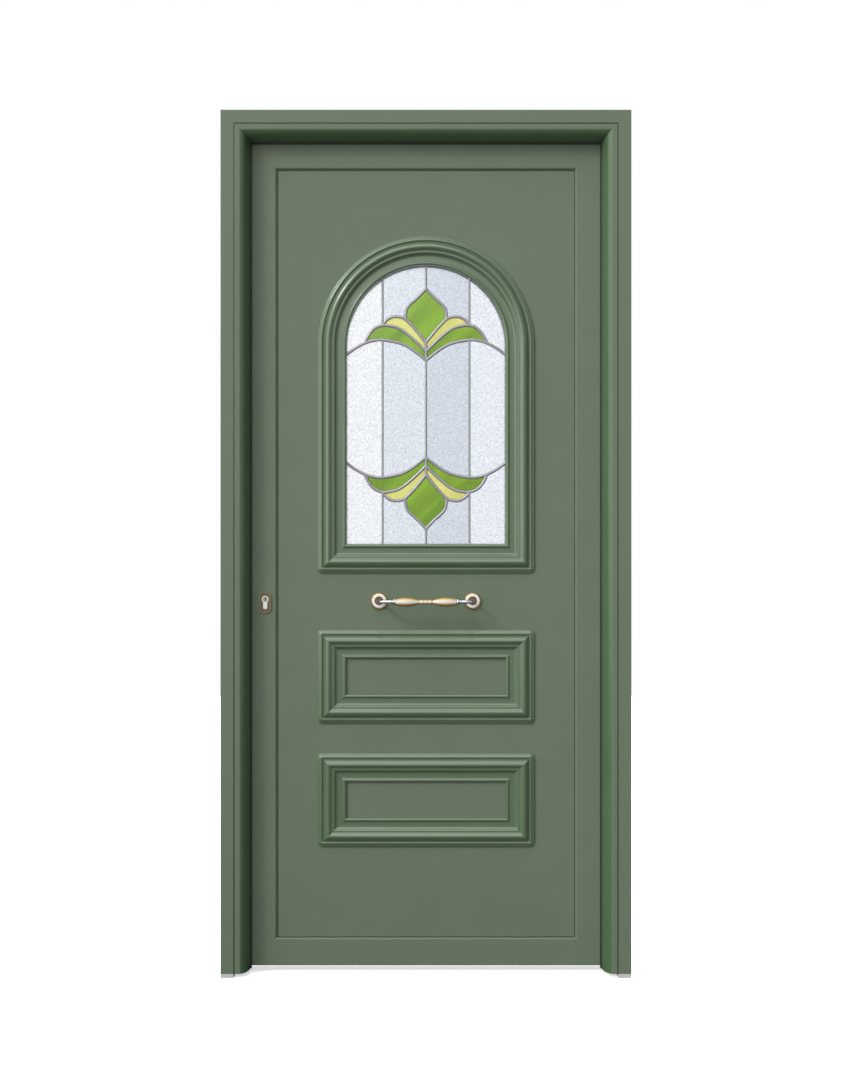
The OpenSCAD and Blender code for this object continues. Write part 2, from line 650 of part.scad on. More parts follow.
// ---- pull handle ----
pull_x = pull_spacing/2;
bend = 20;
stem = 4.8;
function grip_r(t) = 5.4 + 2.7*t + 4.9*sin(180*t);
grip_top = max([for (i = [0:16]) grip_r(i/16)]);
grip_y = face - handle_reach + grip_top;
module pull_rosettes() {
    color([0.9, 0.89, 0.86]) both() translate([pull_x, skin_front, pull_height]) rotate([90, 0, 0])
        rotate_extrude() polygon([[10.4, 1.3], [18.5, 1.3], [18.6, 3.6], [17.8, 5], [16.2, 6.1], [14.2, 6.5],
            [12.2, 6.1], [10.9, 5], [10.4, 3.6]]);
}
module pull_rims() {
    color([0.72, 0.58, 0.25]) both() translate([pull_x, skin_front, pull_height]) rotate([90, 0, 0])
        rotate_extrude() polygon([[stem + 0.2, 0], [20.4, 0], [20.4, 3], [20, 4.2], [19.4, 4.7], [18.8, 4.2],
            [18.8, 1.2], [10, 1.2], [9, 2.4], [stem + 0.2, 2.4]]);
}
module pull_stems() {
    color([0.8, 0.8, 0.82]) both() difference() {
        union() {
            pin_y(pull_x, grip_y + bend, pull_height, skin_front - grip_y - bend, stem);
            translate([pull_x - bend, grip_y + bend, pull_height]) rotate([0, 0, -90])
                rotate_extrude(angle = 90) translate([bend, 0]) circle(r = stem);
            pin_x(grip_half + 12.8, grip_y, pull_height, pull_x - bend - grip_half - 12.8, stem);
        }
        pin_y(pull_x, skin_front - 14, pull_height, 20, 3.05);
    }
}
module pull_collars() {
    color([0.83, 0.83, 0.85]) both() translate([grip_half + 0.8, grip_y, pull_height]) rotate([0, 90, 0])
        rotate_extrude() polygon([[0, 0], [7.4, 0], [8.6, 1.1], [9, 3], [8.6, 4.9], [7.4, 6], [6.2, 6.6],
            [6, 7.6], [6.8, 8.6], [7, 9.6], [6.6, 10.8], [5.6, 11.7], [4.8, 12], [0, 12]]);
}
grip_half = pull_x - bend - 22;
waist = 16.5;
module pull_grip() {
    color([0.86, 0.78, 0.6]) translate([0, grip_y, pull_height]) both() rotate([0, 90, 0]) rotate_extrude()
        polygon(concat([[0, 0], [6, 0], [6, waist - 0.8], [5, waist - 0.4], [5, waist + 0.2]],
            [for (i = [0:16]) [grip_r(i/16), waist + 0.6 + i/16*(grip_half - waist - 0.6)]],
            [[7.4, grip_half + 0.7], [0, grip_half + 0.7]]));
}
module pull_sleeves() {
    color([0.6, 0.6, 0.62]) both() difference() {
        pin_y(pull_x, core_front, pull_height, core_thick, 7);
        pin_y(pull_x, core_front - 1, pull_height, core_thick + 2, 3.4);
    }
}
module pull_bolts() {
    color([0.7, 0.7, 0.72]) both() {
        pin_y(pull_x, skin_front - 12, pull_height, skin_back - skin_front + 12 + 1.5, 3);
        pin_y(pull_x, skin_back + 1.5, pull_height, 4, 6);
        difference() {
            pin_y(pull_x, skin_back, pull_height, 1.5, 9);
            pin_y(pull_x, skin_back - 1, pull_height, 3, 3);
        }
    }
}
module pull_bolt_caps() {
    color([0.41, 0.45, 0.39]) both() difference() {
        pin_y(pull_x, skin_back, pull_height, 8.5, 12);
        pin_y(pull_x, skin_back - 1, pull_height, 8, 9.6);
    }
}

// ---- lock ----
plate_low = lock_height - 70;
plate_high = spindle_z + 65;
plate_screw_z = [plate_low + 10, plate_high - 10];
module lock_case() {
    color([0.62, 0.63, 0.64]) difference() {
        brick(case_front, case_back, -8, 8, case_low, case_high);
        brick(case_front + 1.2, case_back - 1.2, -6.8, 6.8, case_low + 1.2, case_high - 1.2);
        brick(case_front - 1, case_front + 2, -6.8, 6.8, bolt_z - 12.6, bolt_z + 12.6);
        brick(case_front - 1, case_front + 2, -6.8, 6.8, latch_z - 10.6, latch_z + 10.6);
        euro(0.4, -9, 9);
        pin_y(keyed, -9, spindle_z, 18, 9.2);
        pin_x(case_front - 1, 0, lock_height - 20, 4, 3);
    }
}
module lock_faceplate() {
    color([0.7, 0.71, 0.72]) difference() {
        brick(-leaf_half, -leaf_half + groove_deep, -groove + 0.25, groove - 0.25,
            case_low - 20, case_high + 20);
        brick(-leaf_half - 1, -leaf_half + 4, -6.4, 6.4, bolt_z - 12.4, bolt_z + 12.4);
        brick(-leaf_half - 1, -leaf_half + 4, -6.4, 6.4, latch_z - 10.4, latch_z + 10.4);
        for (z = concat(case_screw_z, [lock_height - 20])) {
            pin_x(-leaf_half - 1, 0, z, 5, 2.6);
            translate([-leaf_half, 0, z]) rotate([0, 90, 0]) cylinder(r1 = 4.7, r2 = 2.6, h = 2.1);
        }
    }
}
module cone_screw(x, z, length, shank) {
    translate([x, 0, z]) rotate([0, 90, 0]) {
        cylinder(r1 = 4.6, r2 = 2.5, h = 2.1);
        translate([0, 0, 1]) cylinder(r = shank, h = length - 1);
    }
}
module lock_screws() {
    color([0.75, 0.75, 0.77]) {
        for (z = case_screw_z) cone_screw(-leaf_half, z, 20, 2);
        cone_screw(-leaf_half, lock_height - 20, backset + 4, 2.4);
        for (z = plate_screw_z) {
            pin_y(keyed, back - 12, z, 17, 2);
            pin_y(keyed, back + 5, z, 2.2, 4);
        }
    }
}
cyl_out = face - 4;
cyl_in = back + 8;
// The cam turns freely inside the lock case
cam_reach = 11.6;
turn_half = 12;
module cylinder_body() {
    color([0.78, 0.77, 0.72]) difference() {
        euro(0, cyl_out, cyl_in);
        pin_y(keyed, cyl_out - 1, lock_height, cyl_in - cyl_out + 2, plug_bore/2 + 0.05);
        brick(keyed - 12, keyed + 12, -5.2, 5.2, lock_height - 15.2, lock_height + 12);
        pin_x(keyed - 12, 0, lock_height - 20, 17, 2.45);
    }
}
module cylinder_plug() {
    color([0.8, 0.72, 0.42]) difference() {
        pin_y(keyed, cyl_out, lock_height, -5.4 - cyl_out, plug_bore/2);
        brick(keyed - 1, keyed + 1, cyl_out - 1, cyl_out + 24, lock_height - 2.5, lock_height + 5);
    }
}
module cylinder_turn() {
    color([0.75, 0.76, 0.78]) {
        pin_y(keyed, -4.8, lock_height, 9.6, 7.6);
        brick(keyed - 3, keyed + 3, -4.8, 4.8, lock_height + 1, lock_height + cam_reach);
        pin_y(keyed, 4.7, lock_height, cyl_in - 3.2, plug_bore/2);
        pin_y(keyed, cyl_in + 1.2, lock_height, 5, 10);
        brick(keyed - 3, keyed + 3, cyl_in + 6, cyl_in + 21,
            lock_height - turn_half, lock_height + turn_half);
    }
}
module latch_bolt() {
    color([0.74, 0.75, 0.77]) {
        along_z(latch_z - 10, latch_z + 10) polygon([[-leaf_half + 18, -6], [-leaf_half - 1, -6],
            [-leaf_half - latch_throw, 4], [-leaf_half - latch_throw, 6], [-leaf_half + 18, 6]]);
        brick(-leaf_half + 17, -leaf_half + 30, -2, 2, latch_z - 4, latch_z + 4);
    }
}
module dead_bolt() {
    color([0.74, 0.75, 0.77]) {
        brick(-leaf_half + 0.3, -leaf_half + 32, -6, 6, bolt_z - 12, bolt_z + 12);
        brick(-leaf_half + 31, -leaf_half + 50, -2, 2, bolt_z - 4, bolt_z + 6);
    }
}
module follower() {
    color([0.66, 0.62, 0.5]) difference() {
        union() {
            pin_y(keyed, -6.6, spindle_z, 13.2, 11);
            pin_y(keyed, -8.6, spindle_z, 17.2, 9.15);
        }
        brick(keyed - 4.1, keyed + 4.1, -10, 10, spindle_z - 4.1, spindle_z + 4.1);
    }
}
module spindle() {
    color([0.66, 0.66, 0.67]) brick(keyed - 4, keyed + 4, -8, back + 26, spindle_z - 4, spindle_z + 4);
}
lever_r = 9;
lever_long = 118;
module inner_lever() {
    lever_y = back + handle_reach - lever_r;
    color([0.78, 0.78, 0.8]) difference() {
        union() {
            pin_y(keyed, back + 9, spindle_z, 4, 12);
            pin_y(keyed, back + 12.9, spindle_z, lever_y - back - 12.9, lever_r);
            translate([keyed, lever_y, spindle_z]) sphere(r = lever_r);
            pin_x(keyed, lever_y, spindle_z, lever_long, lever_r);
            translate([keyed + lever_long, lever_y, spindle_z]) sphere(r = lever_r);
        }
        brick(keyed - 4.1, keyed + 4.1, back, back + 27, spindle_z - 4.1, spindle_z + 4.1);
    }
}
plate_half = 15;
module plate_2d(grow) {
    c = plate_half + grow;
    translate([-c, plate_low + plate_half]) square([2*c, plate_high - plate_low - 2*plate_half]);
    translate([0, plate_low + plate_half]) circle(r = c);
    translate([0, plate_high - plate_half]) circle(r = c);
}
module inner_plate() {
    color([0.78, 0.78, 0.8]) difference() {
        translate([keyed, 0, 0]) { slab(back, back + 6) plate_2d(0); slab(back + 6, back + 8) plate_2d(-2); }
        euro(0.3, back - 1, back + 10);
        pin_y(keyed, back - 1, spindle_z, 12, 8.6);
        for (z = plate_screw_z) {
            pin_y(keyed, back - 1, z, 12, 2.3);
            pin_y(keyed, back + 5, z, 8, 4.2);
        }
    }
}
module plate_bush() {
    color([0.2, 0.2, 0.2]) difference() {
        pin_y(keyed, back + 0.2, spindle_z, 8.4, 8.5);
        pin_y(keyed, back - 1, spindle_z, 12, 6.2);
    }
}
oval_rise = 12;
module oval_2d(r) {
    translate([-r, -oval_rise]) square([2*r, 2*oval_rise]);
    translate([0, oval_rise]) circle(r = r);
    translate([0, -oval_rise]) circle(r = r);
}
module escutcheon() {
    color([0.41, 0.45, 0.39]) difference() {
        translate([keyed, 0, lock_height - 8]) { slab(face - 3, face) oval_2d(12.8); }
        euro(0.2, face - 4, face + 1);
    }
}
module escutcheon_rim() {
    color([0.66, 0.56, 0.3]) translate([keyed, 0, lock_height - 8]) slab(face - 3.6, face) difference() {
        oval_2d(14.5);
        oval_2d(12.9);
    }
}
module strike_plate() {
    x0 = -half_width + rebate - groove_deep;
    color([0.7, 0.71, 0.72]) difference() {
        brick(x0, x0 + groove_deep, -groove + 0.25, groove - 0.25, strike_low, strike_high);
        brick(x0 - 1, x0 + 5, -latch_slot[0], latch_slot[0],
            latch_z - latch_slot[1], latch_z + latch_slot[1]);
        brick(x0 - 1, x0 + 5, -bolt_slot[0], bolt_slot[0],
            bolt_z - bolt_slot[1], bolt_z + bolt_slot[1]);
        for (z = strike_screw_z) {
            pin_x(x0 - 1, 0, z, 6, 2.6);
            translate([x0 + groove_deep - 2.1, 0, z]) rotate([0, 90, 0])
                cylinder(r1 = 2.6, r2 = 4.7, h = 2.1);
        }
    }
}
module strike_screws() {
    x0 = -half_width + rebate;
    color([0.75, 0.75, 0.77]) for (z = strike_screw_z)
        mirror([1, 0, 0]) cone_screw(-x0, z, 20, 2);
}

// ---- hinges ----
frame_screw_x = [hinge_x + 18.5, hinge_x + 44.5];
leaf_screw_x = [hinge_x - 19.5, hinge_x - 44.5];
wing = 7;
screw_rows = [-38, -12, 12, 38];
frame_wing_half = 55;
leaf_wing_half = 50;
wing_wide = 54;
end_knuckle = 35;
mid_knuckle = 19.6;
kn = knuckle/2;
pr = hinge_pin/2;
module frame_wings() {
    color([0.41, 0.45, 0.39]) for (h = hinge_heights) difference() {
        union() {
            brick(hinge_x + kn + 1.5, hinge_x + wing_wide, back, back + wing,
                h - frame_wing_half, h + frame_wing_half);
            for (s = [-frame_wing_half, frame_wing_half - end_knuckle]) {
                brick(hinge_x, hinge_x + kn + 3, back + 1.2, back + wing, h + s, h + s + end_knuckle);
                translate([hinge_x, hinge_y, h + s]) cylinder(r = kn, h = end_knuckle);
            }
        }
        translate([hinge_x, hinge_y, h - 60]) cylinder(r = pr + 0.02, h = 120);
        wing_holes(frame_screw_x, h);
    }
}
module wing_holes(spots, h) {
    for (x = spots) for (s = screw_rows) {
        pin_y(x, back - 1, h + s, wing + 2, 2.7);
        translate([x, back + wing, h + s]) rotate([90, 0, 0]) cylinder(r1 = 4.8, r2 = 2.7, h = 2.1);
    }
}
module leaf_wings() {
    color([0.41, 0.45, 0.39]) for (h = hinge_heights) difference() {
        union() {
            brick(hinge_x - wing_wide, hinge_x - kn - 1.5, back, back + wing,
                h - leaf_wing_half, h + leaf_wing_half);
            brick(hinge_x - kn - 3, hinge_x, back + 1.2, back + wing, h - mid_knuckle, h + mid_knuckle);
            translate([hinge_x, hinge_y, h - mid_knuckle]) cylinder(r = kn, h = 2*mid_knuckle);
        }
        translate([hinge_x, hinge_y, h - 60]) cylinder(r = pr + 1.5, h = 120);
        wing_holes(leaf_screw_x, h);
    }
}
module hinge_bushes() {
    color([0.12, 0.12, 0.12]) for (h = hinge_heights) difference() {
        translate([hinge_x, hinge_y, h - mid_knuckle]) cylinder(r = pr + 1.45, h = 2*mid_knuckle);
        translate([hinge_x, hinge_y, h - 20]) cylinder(r = pr + 0.05, h = 40);
    }
}
module hinge_pins() {
    color([0.7, 0.7, 0.72]) for (h = hinge_heights)
        translate([hinge_x, hinge_y, h - 54]) cylinder(r = pr, h = 108);
}
module hinge_caps() {
    color([0.41, 0.45, 0.39]) for (h = hinge_heights) for (s = [0, 1])
        translate([hinge_x, hinge_y, h]) mirror([0, 0, s]) {
            translate([0, 0, frame_wing_half]) cylinder(r = kn, h = 2);
            translate([0, 0, frame_wing_half + 2]) cylinder(r1 = kn, r2 = kn - 2, h = 2);
        }
}
module wing_screws(spots) {
    color([0.75, 0.75, 0.77]) for (h = hinge_heights) for (x = spots) for (s = screw_rows) {
        translate([x, back + wing, h + s]) rotate([90, 0, 0]) cylinder(r1 = 4.7, r2 = 2.6, h = 2.1);
        pin_y(x, back - 9, h + s, wing + 8, 2.2);
    }
}
module frame_wing_screws() { wing_screws(frame_screw_x); }
module leaf_wing_screws() { wing_screws(leaf_screw_x); }

frame_jamb_lock();
frame_jamb_hinge();
frame_head();
frame_cleats();
foot_plugs();
stop_gasket();
fixing_caps();
strike_plate();
strike_screws();
frame_wings();
frame_wing_screws();
hinge_pins();
hinge_caps();
leaf_wings();
leaf_wing_screws();
hinge_bushes();
leaf_stile_lock();
leaf_stile_hinge();
leaf_rails();
leaf_cleats();
panel_skin_outer();
panel_core();
panel_skin_inner();
panel_gaskets();
panel_beads();
window_frame_outer();
window_frame_inner();
window_screws();
window_screw_caps();
window_tapes();
unit_spacer();
inner_pane();
lead_came();
glass_clear();
glass_green();
glass_yellow();
field_mouldings();
pull_rosettes();
pull_rims();
pull_stems();
pull_collars();
pull_grip();
pull_sleeves();
pull_bolts();
pull_bolt_caps();
lock_case();
lock_faceplate();
lock_screws();
cylinder_body();
cylinder_plug();
cylinder_turn();
latch_bolt();
dead_bolt();
follower();
spindle();
inner_lever();
inner_plate();
plate_bush();
escutcheon();
escutcheon_rim();
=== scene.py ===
"""Panelled front door with its frame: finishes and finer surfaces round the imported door, in metres.

X runs across the door, Z up, and the outside face looks along -Y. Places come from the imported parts' own
boxes. A moulding, a lead came or a lever is a profile carried along a path, and a grip or a rosette is a
profile turned round an axis, each worked out as one numpy grid.
"""
import math

import bpy
import numpy as np
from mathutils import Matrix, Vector


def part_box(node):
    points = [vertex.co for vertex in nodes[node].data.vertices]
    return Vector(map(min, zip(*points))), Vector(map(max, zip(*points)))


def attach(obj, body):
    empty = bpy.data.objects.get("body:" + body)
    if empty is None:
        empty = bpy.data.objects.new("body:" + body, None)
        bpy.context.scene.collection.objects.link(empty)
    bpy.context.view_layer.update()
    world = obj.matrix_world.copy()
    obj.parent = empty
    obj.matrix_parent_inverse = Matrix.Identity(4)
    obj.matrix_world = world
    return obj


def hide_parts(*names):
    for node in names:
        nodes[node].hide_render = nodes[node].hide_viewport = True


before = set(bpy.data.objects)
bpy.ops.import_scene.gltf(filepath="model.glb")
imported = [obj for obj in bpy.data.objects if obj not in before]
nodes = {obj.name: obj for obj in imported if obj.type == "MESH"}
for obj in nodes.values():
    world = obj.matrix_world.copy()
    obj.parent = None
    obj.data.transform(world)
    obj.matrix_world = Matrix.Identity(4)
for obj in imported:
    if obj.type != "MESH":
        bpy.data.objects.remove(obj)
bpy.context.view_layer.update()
MM = 0.001


def corners(node):
    """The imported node's lowest and highest corners as two arrays, in metres."""
    low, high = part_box(node)
    return np.array(low), np.array(high)


# ---- surfaces ----

def grid_faces(rows, cols, close_rows, close_cols):
    """Triangles over a rows x cols grid of points, wrapped round in each direction that is closed."""
    i, j = np.meshgrid(np.arange(rows - (not close_rows)), np.arange(cols - (not close_cols)), indexing="ij")
    a, b = i.ravel(), j.ravel()
    c, d = (a + 1) % rows, (b + 1) % cols
    p, q, r, s = a * cols + b, c * cols + b, c * cols + d, a * cols + d
    return np.concatenate([np.stack([p, q, r], 1), np.stack([p, r, s], 1)])


def facing_out(points, faces):
    """The closed surface with its faces wound so that the volume they enclose is positive."""
    a, b, c = points[faces[:, 0]], points[faces[:, 1]], points[faces[:, 2]]
    volume = np.einsum("ij,ij->", a, np.cross(b, c))
    return points, faces if volume > 0 else faces[:, ::-1]


def capped(grid):
    """A rows x cols x 3 grid, closed across its columns, with a fan to the middle of its end rows."""
    rows, cols, _ = grid.shape
    points = np.concatenate([grid.reshape(-1, 3), grid[0].mean(0)[None], grid[-1].mean(0)[None]])
    j = np.arange(cols)
    k = (j + 1) % cols
    first = np.stack([k, j, np.full(cols, rows * cols)], 1)
    last = np.stack([(rows - 1) * cols + j, (rows - 1) * cols + k, np.full(cols, rows * cols + 1)], 1)
    return facing_out(points, np.concatenate([grid_faces(rows, cols, False, True), first, last]))


def joined(surfaces):
    """Several surfaces as one list of points and one of faces."""
    starts = np.cumsum([0] + [len(points) for points, _ in surfaces[:-1]])
    shifted = [faces + start for (_, faces), start in zip(surfaces, starts)]
    return np.concatenate([points for points, _ in surfaces]), np.concatenate(shifted)


def circles(axis, centre, along, radius, sides):
    """A grid of circles round a line along this axis through centre: at each distance, one of the radius
    given there."""
    angle = np.linspace(0, 2 * np.pi, sides, endpoint=False)
    u, v = [i for i in range(3) if i != axis]
    grid = np.empty((len(along), sides, 3))
    grid[:, :, axis] = np.asarray(along)[:, None]
    grid[:, :, u] = centre[u] + np.asarray(radius)[:, None] * np.cos(angle)
    grid[:, :, v] = centre[v] + np.asarray(radius)[:, None] * np.sin(angle)
    return grid


def closed_both_ways(grid):
    """A rows x cols x 3 grid whose last row meets its first and whose last column meets its first."""
    rows, cols, _ = grid.shape
    return facing_out(grid.reshape(-1, 3), grid_faces(rows, cols, True, True))


def turned(axis, centre, along, radius, sides):
    """A profile turned round a line: circles along it, closed at both ends on the line."""
    return capped(circles(axis, centre, along, radius, sides))


def ring(axis, centre, along, radius, sides=96):
    """A closed profile turned round a line that it doesn't touch."""
    return closed_both_ways(circles(axis, centre, along, radius, sides))


def smooth_line(points, steps):
    """A smooth curve through the points: on each span, the cubic whose ends take their direction from the
    points on either side."""
    p = np.asarray(points, float)
    a, b, c, d = np.vstack([p[:1], p[:-2]]), p[:-1], p[1:], np.vstack([p[2:], p[-1:]])
    t = (np.arange(steps) / steps)[:, None, None]
    curve = 0.5 * (2 * b + (c - a) * t + (2 * a - 5 * b + 4 * c - d) * t**2 + (3 * b - 3 * c + d - a) * t**3)
    return np.vstack([curve.transpose(1, 0, 2).reshape(-1, p.shape[1]), p[-1:]])


def tube(path, radius, flat=1.0, sides=40):
    """A round bar along a path in a level plane: at each point, a circle of that radius square to the path,
    with its height multiplied by flat."""
    step = np.gradient(path, axis=0)
    step /= np.linalg.norm(step, axis=1)[:, None]
    across = np.stack([-step[:, 1], step[:, 0], np.zeros(len(path))], 1)
    angle = np.linspace(0, 2 * np.pi, sides, endpoint=False)
    r = np.asarray(radius)[:, None, None]
    up = np.array([0, 0, 1.0])
    grid = path[:, None] + r * (np.cos(angle)[None, :, None] * across[:, None]
                                + flat * np.sin(angle)[None, :, None] * up)
    return capped(grid)


def new_piece(name, surface, material, body, slot, *replaced, crease=38):
    """A piece made of this surface, with its finish, its body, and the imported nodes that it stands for."""
    points, faces = surface
    mesh = bpy.data.meshes.new(name)
    mesh.from_pydata(points.tolist(), [], faces.tolist())
    mesh.polygons.foreach_set("use_smooth", np.ones(len(faces), bool))
    mesh.set_sharp_from_angle(angle=math.radians(crease))
    mesh.materials.append(material)
    mesh.update()
    piece = bpy.data.objects.new(name, mesh)
    bpy.context.scene.collection.objects.link(piece)
    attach(piece, body)
    if replaced:
        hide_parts(*replaced)
    return piece


# ---- materials ----

# The frame's roll lies between these two depths behind its front
ROLL_START, ROLL_END = 0.8 * MM, 48 * MM
# The clear glass's tint runs from this far left of the door's middle to as far right of it
TINT_REACH = 0.2


def linear(code):
    """sRGB hex to linear RGBA."""
    rgb = np.array([int(code[i:i + 2], 16) for i in (1, 3, 5)]) / 255
    rgb = np.where(rgb <= 0.04045, rgb / 12.92, ((rgb + 0.055) / 1.055) ** 2.4)
    return (*rgb.tolist(), 1.0)


def add(tree, kind, links=(), **settings):
    """Adds a node, sets its properties and sockets by name, and links its sockets to these outputs."""
    node = tree.nodes.new(kind)
    for name, value in settings.items():
        if name.startswith("in_"):
            key = name[3:]
            node.inputs[int(key) if key.isdigit() else key.replace("_", " ")].default_value = value
        else:
            setattr(node, name, value)
    for name, source in dict(links).items():
        tree.links.new(source, node.inputs[name])
    return node


def finish(name, colour, roughness, metal=0.0, **sockets):
    """A material with one shader set for this finish; returns it with its node tree and shader."""
    material = bpy.data.materials.new(name)
    material.use_nodes = True
    tree = material.node_tree
    shader = tree.nodes["Principled BSDF"]
    shader.inputs["Base Color"].default_value = linear(colour)
    shader.inputs["Roughness"].default_value = roughness
    shader.inputs["Metallic"].default_value = metal
    for key, value in sockets.items():
        shader.inputs[key.replace("_", " ")].default_value = value
    return material, tree, shader


def grain(tree, shader, wave, height, stretch=(1, 1, 1), detail=2.0):
    """Fine relief on the surface: noise whose waves are this many metres wide, as high as given.

    Returns the noise, for a colour or a gloss that goes with the relief.
    """
    place = add(tree, "ShaderNodeTexCoord")
    scaled = add(tree, "ShaderNodeMapping", {"Vector": place.outputs["Object"]}, in_Scale=stretch)
    noise = add(tree, "ShaderNodeTexNoise", {"Vector": scaled.outputs[0]}, in_Scale=1 / wave,
                in_Detail=detail)
    bump = add(tree, "ShaderNodeBump", {"Height": noise.outputs[0]}, in_Strength=1.0, in_Distance=height)
    tree.links.new(bump.outputs[0], shader.inputs["Normal"])
    return noise


def vary(tree, factor, stops, between="LINEAR"):
    """A colour ramp over a factor, from (place, hex) stops, and how the colour runs between them."""
    ramp = add(tree, "ShaderNodeValToRGB", {"Fac": factor})
    band = ramp.color_ramp
    band.interpolation = between
    while len(band.elements) < len(stops):
        band.elements.new(1.0)
    for element, (place, code) in zip(band.elements, stops):
        element.position = place
        element.color = linear(code)
    return ramp.outputs[0]


def within(tree, value, start, end):
    """1 where the value lies from start to end, and 0 elsewhere."""
    return add(tree, "ShaderNodeMath", {0: value}, operation="COMPARE", in_1=(start + end) / 2,
               in_2=(end - start) / 2).outputs[0]


def times(tree, a, b):
    """The product of two values."""
    return add(tree, "ShaderNodeMath", {0: a, 1: b}, operation="MULTIPLY").outputs[0]


def roll_gloss_and_painted_shade_mask(tree, place):
    """1 on the frame's roll, and 0 on its flat band, on its outer edges and behind the roll: it sets where
    the roll's gloss and its painted shade go.
    """
    low, high = corners("frame_head")
    axes = add(tree, "ShaderNodeSeparateXYZ", {0: place})
    deep = within(tree, axes.outputs["Y"], low[1] + ROLL_START, low[1] + ROLL_END)
    wide = within(tree, axes.outputs["X"], MM - high[0], high[0] - MM)
    tall = within(tree, axes.outputs["Z"], MM - high[2], high[2] - MM)
    return times(tree, times(tree, deep, wide), tall)


def powder_coat(name, dark, light, roughness, gloss, flat=None):
    """Polyester powder coat, sprayed on aluminium and baked: satin green with a soft orange peel.

    The peel's real waves are 1 to 3 mm; they are drawn 4 mm wide so that they show. A slow drift of tone,
    a hand's breadth wide, keeps the large flats from looking printed. gloss is the share of a clear shine
    on top. flat is for the frame: the tone and roughness of all but its roll, which alone then has this coat;
    where this coat is darker and greener than flat, that is painted shade on the roll.
    """
    material, tree, shader = finish(name, light, roughness, IOR=1.5, Coat_Weight=gloss, Coat_Roughness=0.16)
    grain(tree, shader, 0.004, 0.000012, detail=1.0)
    place = add(tree, "ShaderNodeTexCoord").outputs["Object"]
    drift = add(tree, "ShaderNodeTexNoise", {"Vector": place}, in_Scale=9.0, in_Detail=3.0)
    tone = vary(tree, drift.outputs[0], [(0.3, dark), (0.7, light)])
    if flat:
        roll = roll_gloss_and_painted_shade_mask(tree, place)
        rough = add(tree, "ShaderNodeMix", {0: roll}, in_2=flat[1], in_3=roughness)
        tree.links.new(rough.outputs[0], shader.inputs["Roughness"])
        # Painted shade: the roll takes this coat's darker green, and the flat band keeps its own tone
        mixed = add(tree, "ShaderNodeMix", {0: roll, 7: tone}, data_type="RGBA", in_6=linear(flat[0]))
        tone = mixed.outputs[2]
    tree.links.new(tone, shader.inputs["Base Color"])
    return material


def metal(name, colour, roughness, wave=0.0006, height=0.00002, stretch=(1, 1, 1), dark=None, bare=1.0):
    """A metal with a fine grain left by how it was worked, and darker hollows where dark is given.

    bare is the share of its face that is clean metal, not dull oxide.
    """
    material, tree, shader = finish(name, colour, roughness, bare)
    noise = grain(tree, shader, wave, height, stretch)
    if dark:
        tone = vary(tree, noise.outputs[0], [(0.25, dark), (0.65, colour)])
        tree.links.new(tone, shader.inputs["Base Color"])
    return material


def one_colour(name, colour, roughness, wave, height, **sockets):
    """A finish of one colour, with only a relief in its surface."""
    material, tree, shader = finish(name, colour, roughness, **sockets)
    grain(tree, shader, wave, height)
    return material


def plastic(name, colour, roughness, wave=0.0008, height=0.00003):
    """A moulded plastic or rubber with a fine matt grain from its tool."""
    return one_colour(name, colour, roughness, wave, height, IOR=1.49)


# Flats of the frame and leaf: even satin sage green
coat = powder_coat("powder_coat_sage", "#63715c", "#66745f", 0.6, 0.0)
# The run mouldings have a glossier coat, with sharp lights along their beads; its deeper green than the
# leaf's is painted shade for their slopes
mould_coat = powder_coat("powder_coat_sage_gloss_painted_shade", "#566b4f", "#596e52", 0.25, 0.5)
# The frame's flat band is coated like the leaf; its roll has the mouldings' gloss and a darker, greener tone
# that is painted shade
frame_coat_painted_shade_roll = powder_coat("powder_coat_sage_frame_painted_shade_roll", "#4a6545", "#4d6848", 0.22, 0.0, flat=("#63715c", 0.6))
# Extruded rubber: near black with a dull face
rubber = plastic("extruded_rubber", "#262d24", 0.62)
# Moulded nylon feet: pale grey, slightly waxy
nylon = plastic("moulded_nylon", "#c8c8c6", 0.45)
# Black bushes of moulded acetal: smooth and dark
acetal = plastic("moulded_acetal", "#1c1c1d", 0.35)
# Foamed polyurethane core: cream, with open cells about 0.5 mm across, drawn 2 mm
foam = plastic("foamed_polyurethane", "#d8cfae", 0.9, 0.002, 0.0006)
# Cleats of extruded aluminium left bare: grey, with drawn lines
bare_aluminium = metal("extruded_aluminium", "#b4b6b8", 0.38, 0.0008, 0.00003, (1, 1, 0.05))
# Screws and bolts of zinc-plated steel: bluish grey with a cloudy bloom
zinc = metal("zinc_plated_steel", "#b9bcc0", 0.32, 0.004, 0.00001, dark="#9fa2a6")
# Pressed steel lock case, zinc passivated and duller
case_steel = metal("pressed_zinc_steel", "#9c9fa1", 0.42, 0.006, 0.00002, dark="#7f8284")
# Stems and collars of chrome-plated brass: bright and near mirror, with a faint polishing swirl
chrome = metal("chrome_plated_brass", "#c4c5c9", 0.12, 0.003, 0.000004)
# Rims and escutcheon edge of polished brass: warm, with darker metal in the hollows of the polish
brass = metal("polished_brass", "#c49a4b", 0.24, 0.002, 0.00001, dark="#a27a34")
# Escutcheon of brass darkened with age: olive brown, its grain rubbed a little lighter
dark_brass = metal("aged_dark_brass", "#6b6449", 0.5, 0.003, 0.00001, dark="#57523c", bare=0.3)
# Its raised edge, where handling keeps the brass a little cleaner
dull_brass = metal("worn_brass_edge", "#94805a", 0.45, 0.002, 0.00001, dark="#6b6449", bare=0.4)
# Cup inside each rosette: brass coloured brown as painted shade and reflection in the rosette's hollow
painted_shade_brass = metal("cup_brass_painted_shade", "#8a6a40", 0.4, 0.002, 0.00001, dark="#5c4527", bare=0.6)
